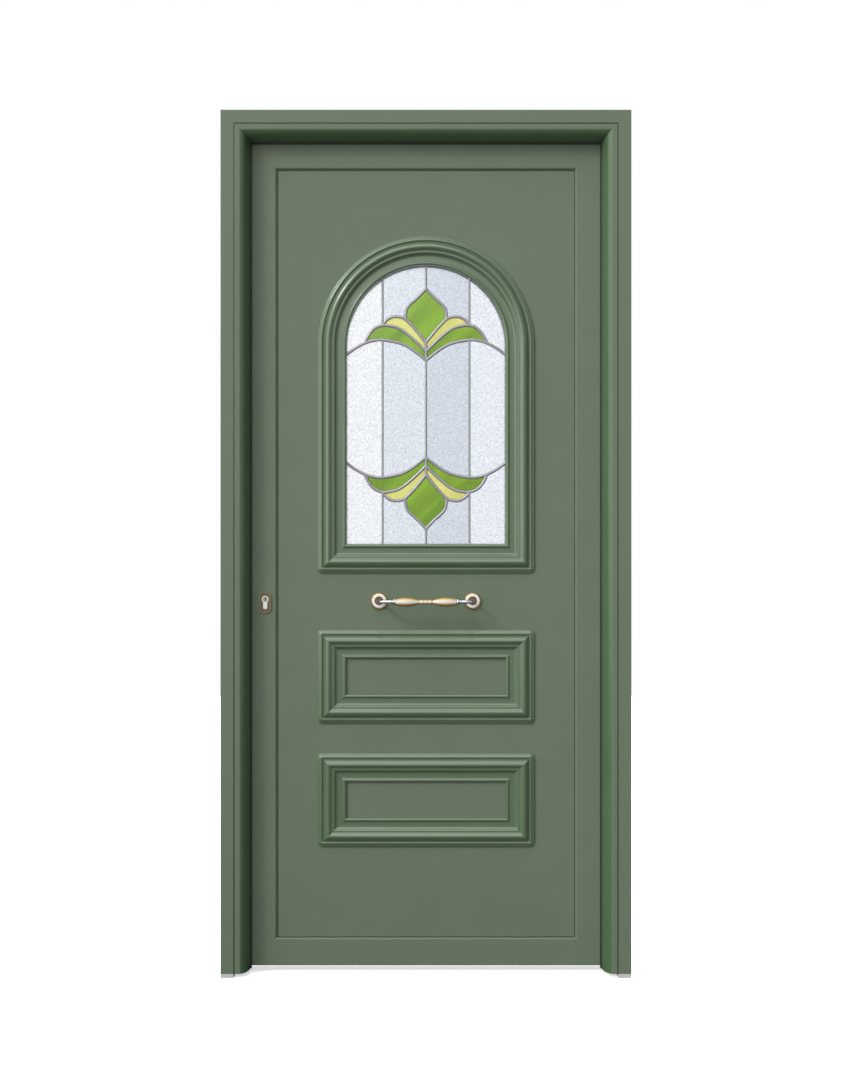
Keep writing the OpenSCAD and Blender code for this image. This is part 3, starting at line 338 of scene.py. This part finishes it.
# Faceplate, strike plate, inner plate and lever of brushed nickel: lines 0.2 mm apart, drawn 0.6 mm
satin = metal("brushed_nickel_plate", "#b5b1a8", 0.33, 0.0006, 0.00003, (1, 1, 0.04))
# Key cylinder of nickel-plated brass, turned and fine-ground
nickel = metal("nickel_plated_brass", "#e4e2dd", 0.4, 0.0008, 0.00001, bare=0.35)
# Its plug, dulled by keys, so that the keyway reads as a dark slot in a greyer disc
worn_nickel = metal("key_worn_nickel", "#9c9a96", 0.35, 0.0008, 0.00001, bare=0.6)
# Rosette rings of fired white enamel: a glassy coat over a faintly wavy ground
enamel = one_colour("fired_white_enamel", "#f2efe9", 0.16, 0.004, 0.00003, IOR=1.55, Coat_Weight=0.6,
                    Coat_Roughness=0.05)


def lacquer_with_painted_reflection():
    """A glossy lacquered grip whose colour holds a painted reflection: pale ivory along its front, where the
    studio's white is painted in as mirrored light, running through gold to brown towards the top and bottom
    as painted shade, darkest along the bottom. The colour follows the surface's own turn attribute, 0 along
    the bottom and 1 along the top, and a 3 mm mottle breaks the edge."""
    material, tree, shader = finish("ivory_lacquer_painted_reflection", "#e2d6c0", 0.26, Coat_Weight=0.5,
                                    Coat_Roughness=0.1)
    noise = grain(tree, shader, 0.003, 0.00003)
    turn = add(tree, "ShaderNodeAttribute", attribute_name="turn")
    mottle = add(tree, "ShaderNodeMath", {0: noise.outputs[0], 2: turn.outputs["Fac"]},
                 operation="MULTIPLY_ADD", in_1=0.04)
    # Painted reflection along the front, and painted shade in gold and brown towards the top and bottom,
    # darkest at the bottom
    tone = vary(tree, mottle.outputs[0], [
        (0.0, "#3f2f1a"), (0.12, "#8a6429"), (0.26, "#b58f4e"), (0.37, "#dccfb4"), (0.5, "#eae3de"),
        (0.66, "#e4dccf"), (0.78, "#cbb376"), (0.92, "#ab8b45"), (1.0, "#7d6530")])
    tree.links.new(tone, shader.inputs["Base Color"])
    return material


# The grip: a painted reflection, pale along its front, and painted shade in gold and brown along its upper
# and lower edges
grip_painted_reflection = lacquer_with_painted_reflection()
# Cast lead cames, burnished with blacking: soft mid grey with lighter rubbed crowns
lead = metal("blackened_cast_lead", "#a4a3a8", 0.36, 0.004, 0.00004, dark="#8c8b91", bare=0.35)
# Butyl glazing tape: black and matt
butyl = plastic("butyl_tape", "#1d1e1d", 0.8)
# Hollow spacer bar of rolled aluminium between the panes
spacer = metal("rolled_aluminium_spacer", "#dcdee0", 0.4, 0.0012, 0.00002, (1, 1, 0.2), bare=0.3)


def sheet_glass(name, stops, wave, height, roughness, painted_gloss_streak=None, between="LINEAR", mottle=0.0):
    """Rolled cathedral glass, 4 mm thick, seen against a pale room.

    The roller leaves a grain a few millimetres wide, drawn as relief; the sparkle of light through it is
    painted into the colour as lighter and darker specks as strong as mottle. The stops tint it along X,
    running into each other as between says, or through a stretched noise whose lighter diagonal streaks are a
    painted gloss reflection over the glass's own colour, leaning by the degrees given for them.
    """
    material, tree, shader = finish(name, stops[0][1], roughness, IOR=1.46, Transmission_Weight=1.0)
    noise = grain(tree, shader, wave, height, detail=3.0)
    place = add(tree, "ShaderNodeTexCoord").outputs["Object"]
    # Where streaks are given, the lighter ones are a painted gloss reflection
    if painted_gloss_streak:
        lean = add(tree, "ShaderNodeMapping", {"Vector": place}, vector_type="TEXTURE",
                   in_Rotation=(0, math.radians(painted_gloss_streak), 0), in_Scale=(1 / 22, 1, 1 / 3))
        run = add(tree, "ShaderNodeTexNoise", {"Vector": lean.outputs[0]}, in_Scale=1.0, in_Detail=1.0)
    else:
        axes = add(tree, "ShaderNodeSeparateXYZ", {"Vector": place})
        run = add(tree, "ShaderNodeMapRange", {"Value": axes.outputs["X"]}, in_1=-TINT_REACH, in_2=TINT_REACH)
    tint = vary(tree, run.outputs[0], stops, between)
    # Painted sparkle: lighter and darker specks in the colour
    painted_sparkle_speck = vary(tree, noise.outputs[0], [(0.38, "#dcdfe3"), (0.6, "#ffffff")])
    mix = add(tree, "ShaderNodeMix", {6: tint, 7: painted_sparkle_speck}, data_type="RGBA", blend_type="MULTIPLY",
              in_0=mottle)
    tree.links.new(mix.outputs[2], shader.inputs["Base Color"])
    return material


# Colourless glass: each upright strip is cut from its own sheet, so its tone steps from strip to strip, and
# its strong specks are painted sparkle
clear_glass = sheet_glass("rolled_clear_glass", [(0.0, "#fcfeff"), (0.232, "#ebf0f7"), (0.5, "#dee4ed"),
                                                 (0.768, "#f5f9ff")],
                          0.004, 0.0003, 0.25, between="CONSTANT", mottle=0.95)
# Green glass with lighter diagonal streaks of painted gloss reflection
green_glass = sheet_glass("rolled_green_glass", [(0.38, "#75992c"), (0.62, "#8cb436")], 0.006, 0.0001, 0.15,
                          painted_gloss_streak=45, mottle=0.15)
# Pale yellow glass, more even, with lighter streaks of painted gloss reflection
yellow_glass = sheet_glass("rolled_yellow_glass", [(0.35, "#d5d478"), (0.65, "#e2e088")], 0.006, 0.0001,
                           0.15, painted_gloss_streak=35, mottle=0.15)
# Inner pane: clear float glass, flat and smooth with a barely seen wave
float_glass = one_colour("float_glass", "#ffffff", 0.0, 0.25, 0.00002, IOR=1.3, Transmission_Weight=1.0)

FINISHES = {
    frame_coat_painted_shade_roll: "frame_jamb_lock frame_jamb_hinge frame_head",
    mould_coat: "window_frame_outer window_frame_inner field_mouldings",
    coat: "fixing_caps frame_wings hinge_caps leaf_wings leaf_stile_lock leaf_stile_hinge leaf_rails "
          "panel_skin_outer panel_skin_inner panel_beads window_screw_caps pull_bolt_caps",
    dark_brass: "escutcheon",
    dull_brass: "escutcheon_rim",
    rubber: "stop_gasket panel_gaskets",
    nylon: "foot_plugs",
    acetal: "hinge_bushes plate_bush",
    foam: "panel_core",
    bare_aluminium: "frame_cleats leaf_cleats pull_sleeves",
    zinc: "strike_screws frame_wing_screws leaf_wing_screws window_screws pull_bolts lock_screws hinge_pins",
    case_steel: "lock_case follower spindle",
    chrome: "pull_stems pull_collars",
    brass: "pull_rims",
    satin: "strike_plate lock_faceplate inner_plate inner_lever latch_bolt dead_bolt cylinder_turn",
    nickel: "cylinder_body",
    worn_nickel: "cylinder_plug",
    enamel: "pull_rosettes",
    grip_painted_reflection: "pull_grip",
    lead: "lead_came",
    butyl: "window_tapes",
    spacer: "unit_spacer",
    clear_glass: "glass_clear",
    green_glass: "glass_green",
    yellow_glass: "glass_yellow",
    float_glass: "inner_pane",
}
for material, names in FINISHES.items():
    for name in names.split():
        data = nodes[name].data
        data.materials.clear()
        data.materials.append(material)


# ---- mouldings ----

# The mouldings' section, from the outer edge inwards: (distance, height above the panel), in millimetres
SECTION = np.array([
    (0, 0), (0.5, 3.2), (2, 4.8), (4, 5.2), (6, 6.6), (8, 7.9), (10, 8.5), (11.6, 8.3), (12.8, 7.4),
    (13.6, 6), (14.6, 5.7), (15.6, 6.6), (17.2, 9), (19.8, 11.8), (22.4, 13.9), (25, 15.3), (27.6, 16),
    (30, 15.6), (32.4, 14.2), (34.4, 12.4), (36, 11), (37.6, 10.5), (41, 10.5), (42.6, 9.9), (44.6, 7.8),
    (46.6, 5.6), (48.6, 4.4), (50.8, 4), (61, 4), (62.6, 4.5), (64.6, 6.2), (66.6, 7), (68.8, 6.7),
    (70.8, 5.2), (72, 3), (72.5, 0)]) * MM
CORNER = 12 * MM  # rounding of a moulding's corners at its outer edge
INNER_CORNER = 0.8 * MM  # the least rounding further in
RIB = 1.5 * MM  # distance of the shading ribs from the ends of a straight


def quarter(inset, corner_x, corner_z, start, half, level):
    """One rounded corner of the loop at each inset, at the loop's lower or upper level: its centre stands in
    from the corner by the inset plus the radius, and the radius shrinks with the inset to a small one."""
    r = np.maximum(CORNER - inset, INNER_CORNER)[:, None]
    a = np.radians(start + np.linspace(0, 90, 11))
    x = corner_x * (half - inset[:, None] - r)
    z = level - corner_z * (inset[:, None] + r)
    return np.stack([x + r * np.cos(a), z + r * np.sin(a)], 2)


def ribbed(loops):
    """The loops with a rib near each end of every straight longer than 20 mm, which keeps the shading of
    the flats true up to the corner."""
    following = np.roll(loops, -1, axis=1)
    gap = np.linalg.norm(following - loops, axis=2)
    runs, start = [], 0
    for i in np.where(gap.min(0) > 20 * MM)[0]:
        step = (following[:, i] - loops[:, i]) / gap[:, i, None] * RIB
        runs += [loops[:, start:i + 1], (loops[:, i] + step)[:, None], (following[:, i] - step)[:, None]]
        start = i + 1
    return np.concatenate(runs + [loops[:, start:]], 1)


def moulding(half, low, base, out, high=None, centre=None):
    """The section carried round a closed loop: the lower corners, then either two upper corners at the
    height high or an arch round the given centre height. out is -1 for a face that looks along -Y, and 1
    for one that looks along +Y."""
    top = smooth_line(SECTION, 3)
    inset, height = top[:, 0], top[:, 1]
    turns = [quarter(inset, -1, -1, 180, half, low), quarter(inset, 1, -1, 270, half, low)]
    if centre is None:
        turns += [quarter(inset, 1, 1, 0, half, high), quarter(inset, -1, 1, 90, half, high)]
    else:
        a = np.radians(np.linspace(0, 180, 97))
        r = half - inset[:, None]
        turns.append(np.stack([r * np.cos(a), centre + r * np.sin(a)], 2))
    loops = ribbed(np.concatenate(turns, 1))
    y = np.broadcast_to((base + out * height)[:, None], loops.shape[:2])
    return closed_both_ways(np.stack([loops[:, :, 0], y, loops[:, :, 1]], 2))


outer_skin = corners("panel_skin_outer")[0][1]
inner_skin = corners("panel_skin_inner")[1][1]
win_low, win_high = corners("window_frame_outer")
face_half = win_high[0]  # half width of the mouldings
arch = win_high[2] - face_half  # height of the arch's centre
new_piece("window_moulding_outer", moulding(face_half, win_low[2], outer_skin, -1, centre=arch),
          mould_coat, "leaf", "mould_coat", "window_frame_outer")
new_piece("window_moulding_inner", moulding(face_half, win_low[2], inner_skin, 1, centre=arch),
          mould_coat, "leaf", "mould_coat", "window_frame_inner")
low, high = corners("field_mouldings")
FIELD = 232 * MM  # height of each field moulding
parts = [moulding(face_half, z, base, out, high=z + FIELD) for z in (low[2], high[2] - FIELD)
         for base, out in ((outer_skin, -1), (inner_skin, 1))]
new_piece("field_moulding_runs", joined(parts), mould_coat, "leaf", "mould_coat", "field_mouldings")


# ---- leadwork ----

unit_low, unit_high = corners("lead_came")
unit_half = unit_high[0]
mid_y = (unit_low[1] + unit_high[1]) / 2
CROWN = (unit_high[1] - unit_low[1]) / 2 + 0.7 * MM  # half thickness of a came
MOTIF = 1391 * MM  # level that the motifs are mirrored about
PITCH = 107.5 * MM  # distance between uprights
WIDE, THIN = 8 * MM, 5.5 * MM  # widths of the curved cames and of the uprights
PAD = 0.58 * WIDE  # radius of a pad of solder
TUCK = 4 * MM  # how far an upright's end runs under the border
# Lines of the upper left motif: (across, height above the level it is mirrored about), in millimetres
BUD = [(0, 297), (-22, 274), (-41, 257), (-49, 243), (-51, 222)]
OVER = [(-107.5, 207.5), (-96, 220.5), (-81, 227.5), (-65, 227), (-51, 221.5), (-27, 197), (0, 164)]
UNDER = [(-151, 163.5), (-140, 185), (-126, 199.5), (-108, 206), (-91, 205.5), (-66, 198.5), (-37, 177),
         (0, 141.5)]
SWEEP = [(-199, 132), (-176, 149), (-151, 162.5), (-128, 169), (-106, 170), (-66, 162.5), (-37, 148.5),
         (0, 120)]
# On the middle line: the stalk between the curves, and the joints there and in the left half
STALK = [(0, 166), (0, 150), (0, 135), (0, 118)]
MIDDLE_JOINTS = [(0, 297), (0, 164), (0, 141.5), (0, 120)]
SIDE_JOINTS = [(-51, 221.5), (-107.5, 207), (-151, 162.5), (-107.5, 170)]


def came(line, width):
    """A lead came: an oval of the given width, domed on both faces, carried along a line in the window."""
    step = np.gradient(line, axis=0)
    step /= np.linalg.norm(step, axis=1)[:, None]
    side = np.stack([-step[:, 1], step[:, 0]], 1)
    a = np.linspace(0, 2 * np.pi, 24, endpoint=False)
    flat = line[:, None] + (width / 2 * np.cos(a))[None, :, None] * side[:, None]
    y = np.broadcast_to(mid_y + CROWN * np.sin(a), flat.shape[:2])
    return capped(np.stack([flat[:, :, 0], y, flat[:, :, 1]], 2))


def upright(x, low, high):
    """A straight thin came from one height to another."""
    z = np.linspace(low, high, 24)
    return came(np.stack([np.full(24, x), z], 1), THIN)


def solder(x, z):
    """A low pad of solder over a joint: a flattened ball a little wider and thicker than the came."""
    t = np.linspace(np.pi, 0, 15)[1:-1]
    return turned(1, (x, 0, z), mid_y + (CROWN + 0.15 * MM) * np.cos(t), PAD * np.sin(t), 28)


def placed(points, side, up):
    """Motif points in the window: mirrored to this side, above or below the motifs' middle level."""
    p = np.array(points, float) * MM
    return np.stack([p[:, 0] * side, MOTIF + p[:, 1] * up], 1)


def uprights(x, near, far, top):
    """The three uprights on one line: one across the motifs' middle level, as far as near to each side of
    it, and one beyond the curves at each end, from far away from it to the sill or the top."""
    return [upright(x, MOTIF - near, MOTIF + near), upright(x, MOTIF + far, top),
            upright(x, unit_low[2] + TUCK, MOTIF - far)]


parts = []
reach = unit_half - TUCK
for up in (-1, 1):
    for side in (-1, 1):
        parts += [came(smooth_line(placed(p, side, up), 6), WIDE) for p in (BUD, OVER, UNDER, SWEEP)]
        parts += [solder(x, z) for x, z in placed(SIDE_JOINTS, side, up)]
    parts += [solder(x, z) for x, z in placed(MIDDLE_JOINTS, 1, up)]
    parts.append(came(placed(STALK, 1, up), WIDE))
for side in (-1, 1):
    parts += uprights(side * PITCH, 170 * MM, 207 * MM, arch + math.sqrt(reach**2 - PITCH**2))
parts += uprights(0, 121 * MM, 296 * MM, arch + reach)


def border_came():
    """The came round the unit's edge: a flat bar 9 mm wide along the sill, the sides and the arch."""
    inset = np.array([0, 0, 9, 9]) * MM
    y = np.array([unit_low[1], unit_high[1], unit_high[1], unit_low[1]])
    a = np.radians(np.linspace(0, 180, 65))
    r = unit_half - inset[:, None]
    crown = np.stack([r * np.cos(a), arch + r * np.sin(a)], 2)
    sill = unit_low[2] + inset
    left = np.stack([-(unit_half - inset), sill], 1)[:, None]
    right = np.stack([unit_half - inset, sill], 1)[:, None]
    loop = np.concatenate([crown, left, right], 1)
    return closed_both_ways(np.stack([loop[:, :, 0], np.broadcast_to(y[:, None], loop.shape[:2]),
                                      loop[:, :, 1]], 2))


parts.append(border_came())
new_piece("lead_cames", joined(parts), lead, "leaf", "lead", "lead_came")


# ---- outside pull handle ----

low, high = corners("pull_grip")
grip_y, grip_z, grip_half = (low[1] + high[1]) / 2, (low[2] + high[2]) / 2, high[0]
WAIST = 16.5 * MM  # half length of the grip's waist


def grip():
    """The grip, turned round a level axis: a ribbed waist, a groove each side of it, and two long swellings.

    Each swelling's radius is 5.4 + 2.7t + 4.9 sin(180t) mm, with t from the groove to the collar. The waist's
    is 6 + 0.45 cos(36x) mm, at x mm from its middle, and the groove goes in to 4.3 mm.
    """
    t = np.linspace(0, 1, 60)
    swell_x = WAIST + 0.6 * MM + t * (grip_half - WAIST - 1.6 * MM)
    swell = (5.4 + 2.7 * t + 4.9 * np.sin(np.pi * t)) * MM
    waist_x = np.linspace(0, 1, 24) * (WAIST - 1.4 * MM)
    waist = (6.0 + 0.45 * np.cos(2 * np.pi * waist_x / (10 * MM))) * MM
    x = np.concatenate([waist_x, [WAIST - 0.9 * MM, WAIST - 0.3 * MM, WAIST + 0.3 * MM], swell_x,
                        [grip_half - 0.5 * MM, grip_half]])
    r = np.concatenate([waist, [4.6 * MM, 4.3 * MM, 4.6 * MM], swell, [7.8 * MM, 7.2 * MM]])
    x = np.concatenate([-x[:0:-1], x])
    r = np.concatenate([r[:0:-1], r])
    return turned(0, (0, grip_y, grip_z), x, r, 72)


turned_grip = grip()
grip_piece = new_piece("grip_turned", turned_grip, grip_painted_reflection, "leaf", "grip", "pull_grip", crease=60)
# Each point's place round the grip, for the lacquer's painted reflection: 0 at the bottom, 0.5 at the front
# and 1 at the top
off = turned_grip[0] - [0, grip_y, grip_z]
height = off[:, 2] / np.maximum(np.hypot(off[:, 1], off[:, 2]), 1e-6)
place_round = grip_piece.data.attributes.new("turn", "FLOAT", "POINT")
place_round.data.foreach_set("value", 0.5 + 0.5 * height)

collar_start = grip_half + 0.1 * MM
# The collar's section: (distance from the grip's end, radius), in millimetres
COLLAR = np.array([(0, 7), (0.7, 7.9), (1.6, 8.8), (2.8, 9), (4, 8.8), (4.9, 7.9), (5.5, 6.5), (6.1, 5.5),
                   (6.9, 5.1), (7.7, 5.5), (8.4, 6.6), (9.3, 7.1), (10.2, 6.7), (10.9, 5.8), (11.6, 5.1),
                   (12.2, 4.9)]) * MM


def collar(side):
    """A turned collar: a full bead, a neck and a small bead, from the grip out to the stem."""
    line = smooth_line(COLLAR, 4)
    return turned(0, (0, grip_y, grip_z), side * (collar_start + line[:, 0]), line[:, 1], 64)


new_piece("collars_turned", joined([collar(-1), collar(1)]), chrome, "leaf", "chrome", "pull_collars",
          crease=60)

low, high = corners("pull_stems")
STEM, BEND = 4.8 * MM, 20 * MM  # radii of the bar and of its bend
stem_x = high[0] - STEM
stem_end = collar_start + 11.6 * MM  # inside the collar's small end


def stem(side):
    """A bent round bar: straight out of the panel, a quarter turn of 20 mm radius, then level to the collar.

    It flares by 1.6 mm over its first 5 mm, where it seats in the rosette.
    """
    root = np.linspace(high[1], grip_y + BEND, 30)
    a = np.linspace(0, np.pi / 2, 40)[1:]
    turn = np.stack([stem_x - BEND + BEND * np.cos(a), grip_y + BEND - BEND * np.sin(a)], 1)
    end = np.stack([np.linspace(stem_x - BEND - MM, stem_end, 12), np.full(12, grip_y)], 1)
    flat = np.vstack([np.stack([np.full(30, stem_x), root], 1), turn, end])
    path = np.column_stack([side * flat[:, 0], flat[:, 1], np.full(len(flat), grip_z)])
    run = np.concatenate([[0], np.cumsum(np.linalg.norm(np.diff(path, axis=0), axis=1))])
    return tube(path, STEM + 1.6 * MM * np.exp(-(run / (2.5 * MM)) ** 2))


new_piece("stems_bent", joined([stem(-1), stem(1)]), chrome, "leaf", "chrome", "pull_stems", crease=60)

# Sections of a rosette's parts: (radius, height above the panel), in millimetres
ROSETTE = np.array([(10.4, 1.3), (10.4, 3.6), (10.7, 4.6), (11.4, 5.5), (12.6, 6.2), (14.2, 6.5), (15.9, 6.3),
                    (16.7, 5.9), (17.4, 5.2), (17.8, 4.2), (17.8, 1.3)]) * MM
RIM = np.array([(17.9, 0), (17.9, 4.0), (18.3, 4.6), (19, 4.8), (19.6, 4.5), (20.1, 3.8), (20.4, 2.6),
                (20.4, 0)]) * MM
CUP = np.array([(5, 0), (5, 2.2), (6.2, 2.9), (7.6, 2.6), (9, 1.7), (10.6, 1.2), (10.6, 0)]) * MM
for name, profile, material, slot, replaced in (
        ("rosette_rings", ROSETTE, enamel, "ring", ["pull_rosettes"]),
        ("rosette_rims", RIM, brass, "brass", ["pull_rims"]),
        # The cups' brown is painted shade and reflection in each rosette's hollow
        ("rosette_cups_painted_shade", CUP, painted_shade_brass, "brass", [])):
    line = smooth_line(profile, 3)
    parts = [ring(1, (side * stem_x, 0, grip_z), outer_skin - line[:, 1], line[:, 0]) for side in (-1, 1)]
    new_piece(name, joined(parts), material, "leaf", slot, *replaced, crease=50)


# ---- inside lever ----

low, high = corners("inner_lever")
LEVER = 9 * MM  # radius of the lever's arm
spindle_low, spindle_high = corners("spindle")
lever_x, lever_z = (spindle_low[0] + spindle_high[0]) / 2, (spindle_low[2] + spindle_high[2]) / 2


def lever():
    """A bent lever: a boss 4 mm high, a neck, a 14 mm quarter turn, and an oval arm that thins in its middle
    by 1.4 mm and ends in a half ball. The boss is 12 mm in radius with a bevelled edge, and the neck 7.4 mm
    with a flare of 1.6 mm at the boss."""
    bend = 14 * MM
    arm_y = high[1] - LEVER
    root = np.linspace(low[1], arm_y - bend, 34)
    a = np.linspace(0, np.pi / 2, 24)[1:]
    turn = np.stack([lever_x + bend - bend * np.cos(a), arm_y - bend + bend * np.sin(a)], 1)
    tip = high[0]
    t = np.linspace(0, 1, 60)[1:]
    straight = np.linspace(lever_x + bend, tip - LEVER, 60)[1:]
    ball = tip - LEVER + LEVER * np.sin(np.linspace(0, np.pi / 2, 16))[1:-1]
    end = np.concatenate([straight, ball])
    flat = np.vstack([np.stack([np.full(34, lever_x), root], 1), turn,
                      np.stack([end, np.full(len(end), arm_y)], 1)])
    path = np.column_stack([flat, np.full(len(flat), lever_z)])
    s = (root - low[1]) / MM
    neck = np.where(s < 4, 12 - 0.8 * np.clip(s - 3, 0, 1), 7.4 + 1.6 * np.exp(-((s - 4) / 3.0) ** 2)) * MM
    arm = LEVER - 1.4 * MM * np.sin(np.pi * t) ** 2
    ball_r = LEVER * np.cos(np.linspace(0, np.pi / 2, 16))[1:-1]
    radius = np.concatenate([neck, np.linspace(7.4 * MM, LEVER, len(turn)), arm, ball_r])
    return tube(path, radius, 0.92, 48)


new_piece("lever_bent", lever(), satin, "lever", "satin", "inner_lever", crease=45)


# ---- light, floor and camera ----

def seen(tree):
    """1 for what the camera sees, straight or through the glass, and 0 for light on its way elsewhere."""
    path = add(tree, "ShaderNodeLightPath")
    straight, through = path.outputs["Is Camera Ray"], path.outputs["Is Transmission Ray"]
    return add(tree, "ShaderNodeMath", {0: straight, 1: through}, operation="MAXIMUM").outputs[0]


def studio(level, overhead, mirrored):
    """Plain studio white. It lights the door with an even level that rises overhead with the square of the
    height, as a ceiling of soft lamps does. Metal and gloss mirror it brighter by mirrored, and it is white
    where it is seen."""
    world = bpy.data.worlds.new("studio")
    world.use_nodes = True
    tree = world.node_tree
    place = add(tree, "ShaderNodeTexCoord")
    split = add(tree, "ShaderNodeSeparateXYZ", {"Vector": place.outputs["Generated"]})
    above = add(tree, "ShaderNodeMath", {0: split.outputs["Z"]}, operation="MAXIMUM", in_1=0.0)
    square = add(tree, "ShaderNodeMath", {0: above.outputs[0]}, operation="POWER", in_1=2.0)
    light = add(tree, "ShaderNodeMath", {0: square.outputs[0]}, operation="MULTIPLY_ADD", in_1=overhead,
                in_2=level)
    path = add(tree, "ShaderNodeLightPath")
    gloss = add(tree, "ShaderNodeMath", {0: path.outputs["Is Glossy Ray"], 2: light.outputs[0]},
                operation="MULTIPLY_ADD", in_1=mirrored)
    lit = add(tree, "ShaderNodeBackground", {"Strength": gloss.outputs[0]}, in_Color=(1, 1, 1, 1))
    plain = tree.nodes["Background"]
    plain.inputs["Color"].default_value = (1, 1, 1, 1)
    mix = add(tree, "ShaderNodeMixShader", {0: seen(tree), 1: lit.outputs[0], 2: plain.outputs[0]})
    tree.links.new(mix.outputs[0], tree.nodes["World Output"].inputs["Surface"])
    bpy.context.scene.world = world


def lamp(name, toward, strength, spread):
    """A distant soft lamp, in the direction given from the door, spread over so many degrees."""
    data = bpy.data.lights.new(name, "SUN")
    data.energy = strength
    data.angle = math.radians(spread)
    light = bpy.data.objects.new(name, data)
    light.rotation_euler = Vector(toward).to_track_quat("Z", "Y").to_euler()
    bpy.context.scene.collection.objects.link(light)


studio(0.09, 0.7, 0.6)
lamp("key", (-1.0, -1.0, 1.0), 2.7, 96)
lamp("accent", (-1.15, -1.0, 1.0), 1.0, 12)
lamp("inside", (0.8, 1.0, 1.2), 2.6, 30)


def studio_floor(half_width):
    """A plain pale floor that runs this far to each side of the door, greyer for the light that it throws
    back than where it is seen."""
    material = bpy.data.materials.new("painted_floor")
    material.use_nodes = True
    tree = material.node_tree
    tree.nodes.remove(tree.nodes["Principled BSDF"])
    lifted = add(tree, "ShaderNodeEmission", in_Color=(1, 1, 1, 1), in_Strength=0.6)
    matt = add(tree, "ShaderNodeBsdfDiffuse", in_Color=(0.92, 0.92, 0.92, 1))
    pale = add(tree, "ShaderNodeAddShader", {0: lifted.outputs[0], 1: matt.outputs[0]})
    grey = add(tree, "ShaderNodeBsdfDiffuse", in_Color=(0.18, 0.18, 0.18, 1))
    mix = add(tree, "ShaderNodeMixShader", {0: seen(tree), 1: grey.outputs[0], 2: pale.outputs[0]})
    tree.links.new(mix.outputs[0], tree.nodes["Material Output"].inputs["Surface"])
    mesh = bpy.data.meshes.new("floor")
    w = half_width
    mesh.from_pydata([(-w, -w, 0), (w, -w, 0), (w, w, 0), (-w, w, 0)], [], [(0, 1, 2, 3)])
    mesh.materials.append(material)
    floor = bpy.data.objects.new("floor", mesh)
    bpy.context.scene.collection.objects.link(floor)


def camera(place, lens):
    """A level camera at this place that looks squarely at the door's outside, with a lens in millimetres."""
    data = bpy.data.cameras.new("camera")
    data.lens = lens
    data.sensor_width = 36
    view = bpy.data.objects.new("camera", data)
    view.location = place
    view.rotation_euler = (math.radians(90), 0, 0)
    bpy.context.scene.collection.objects.link(view)
    bpy.context.scene.camera = view


studio_floor(6)
camera((0.0037, -3.378, 1.060), 45)
bpy.context.scene.view_settings.view_transform = "Standard"
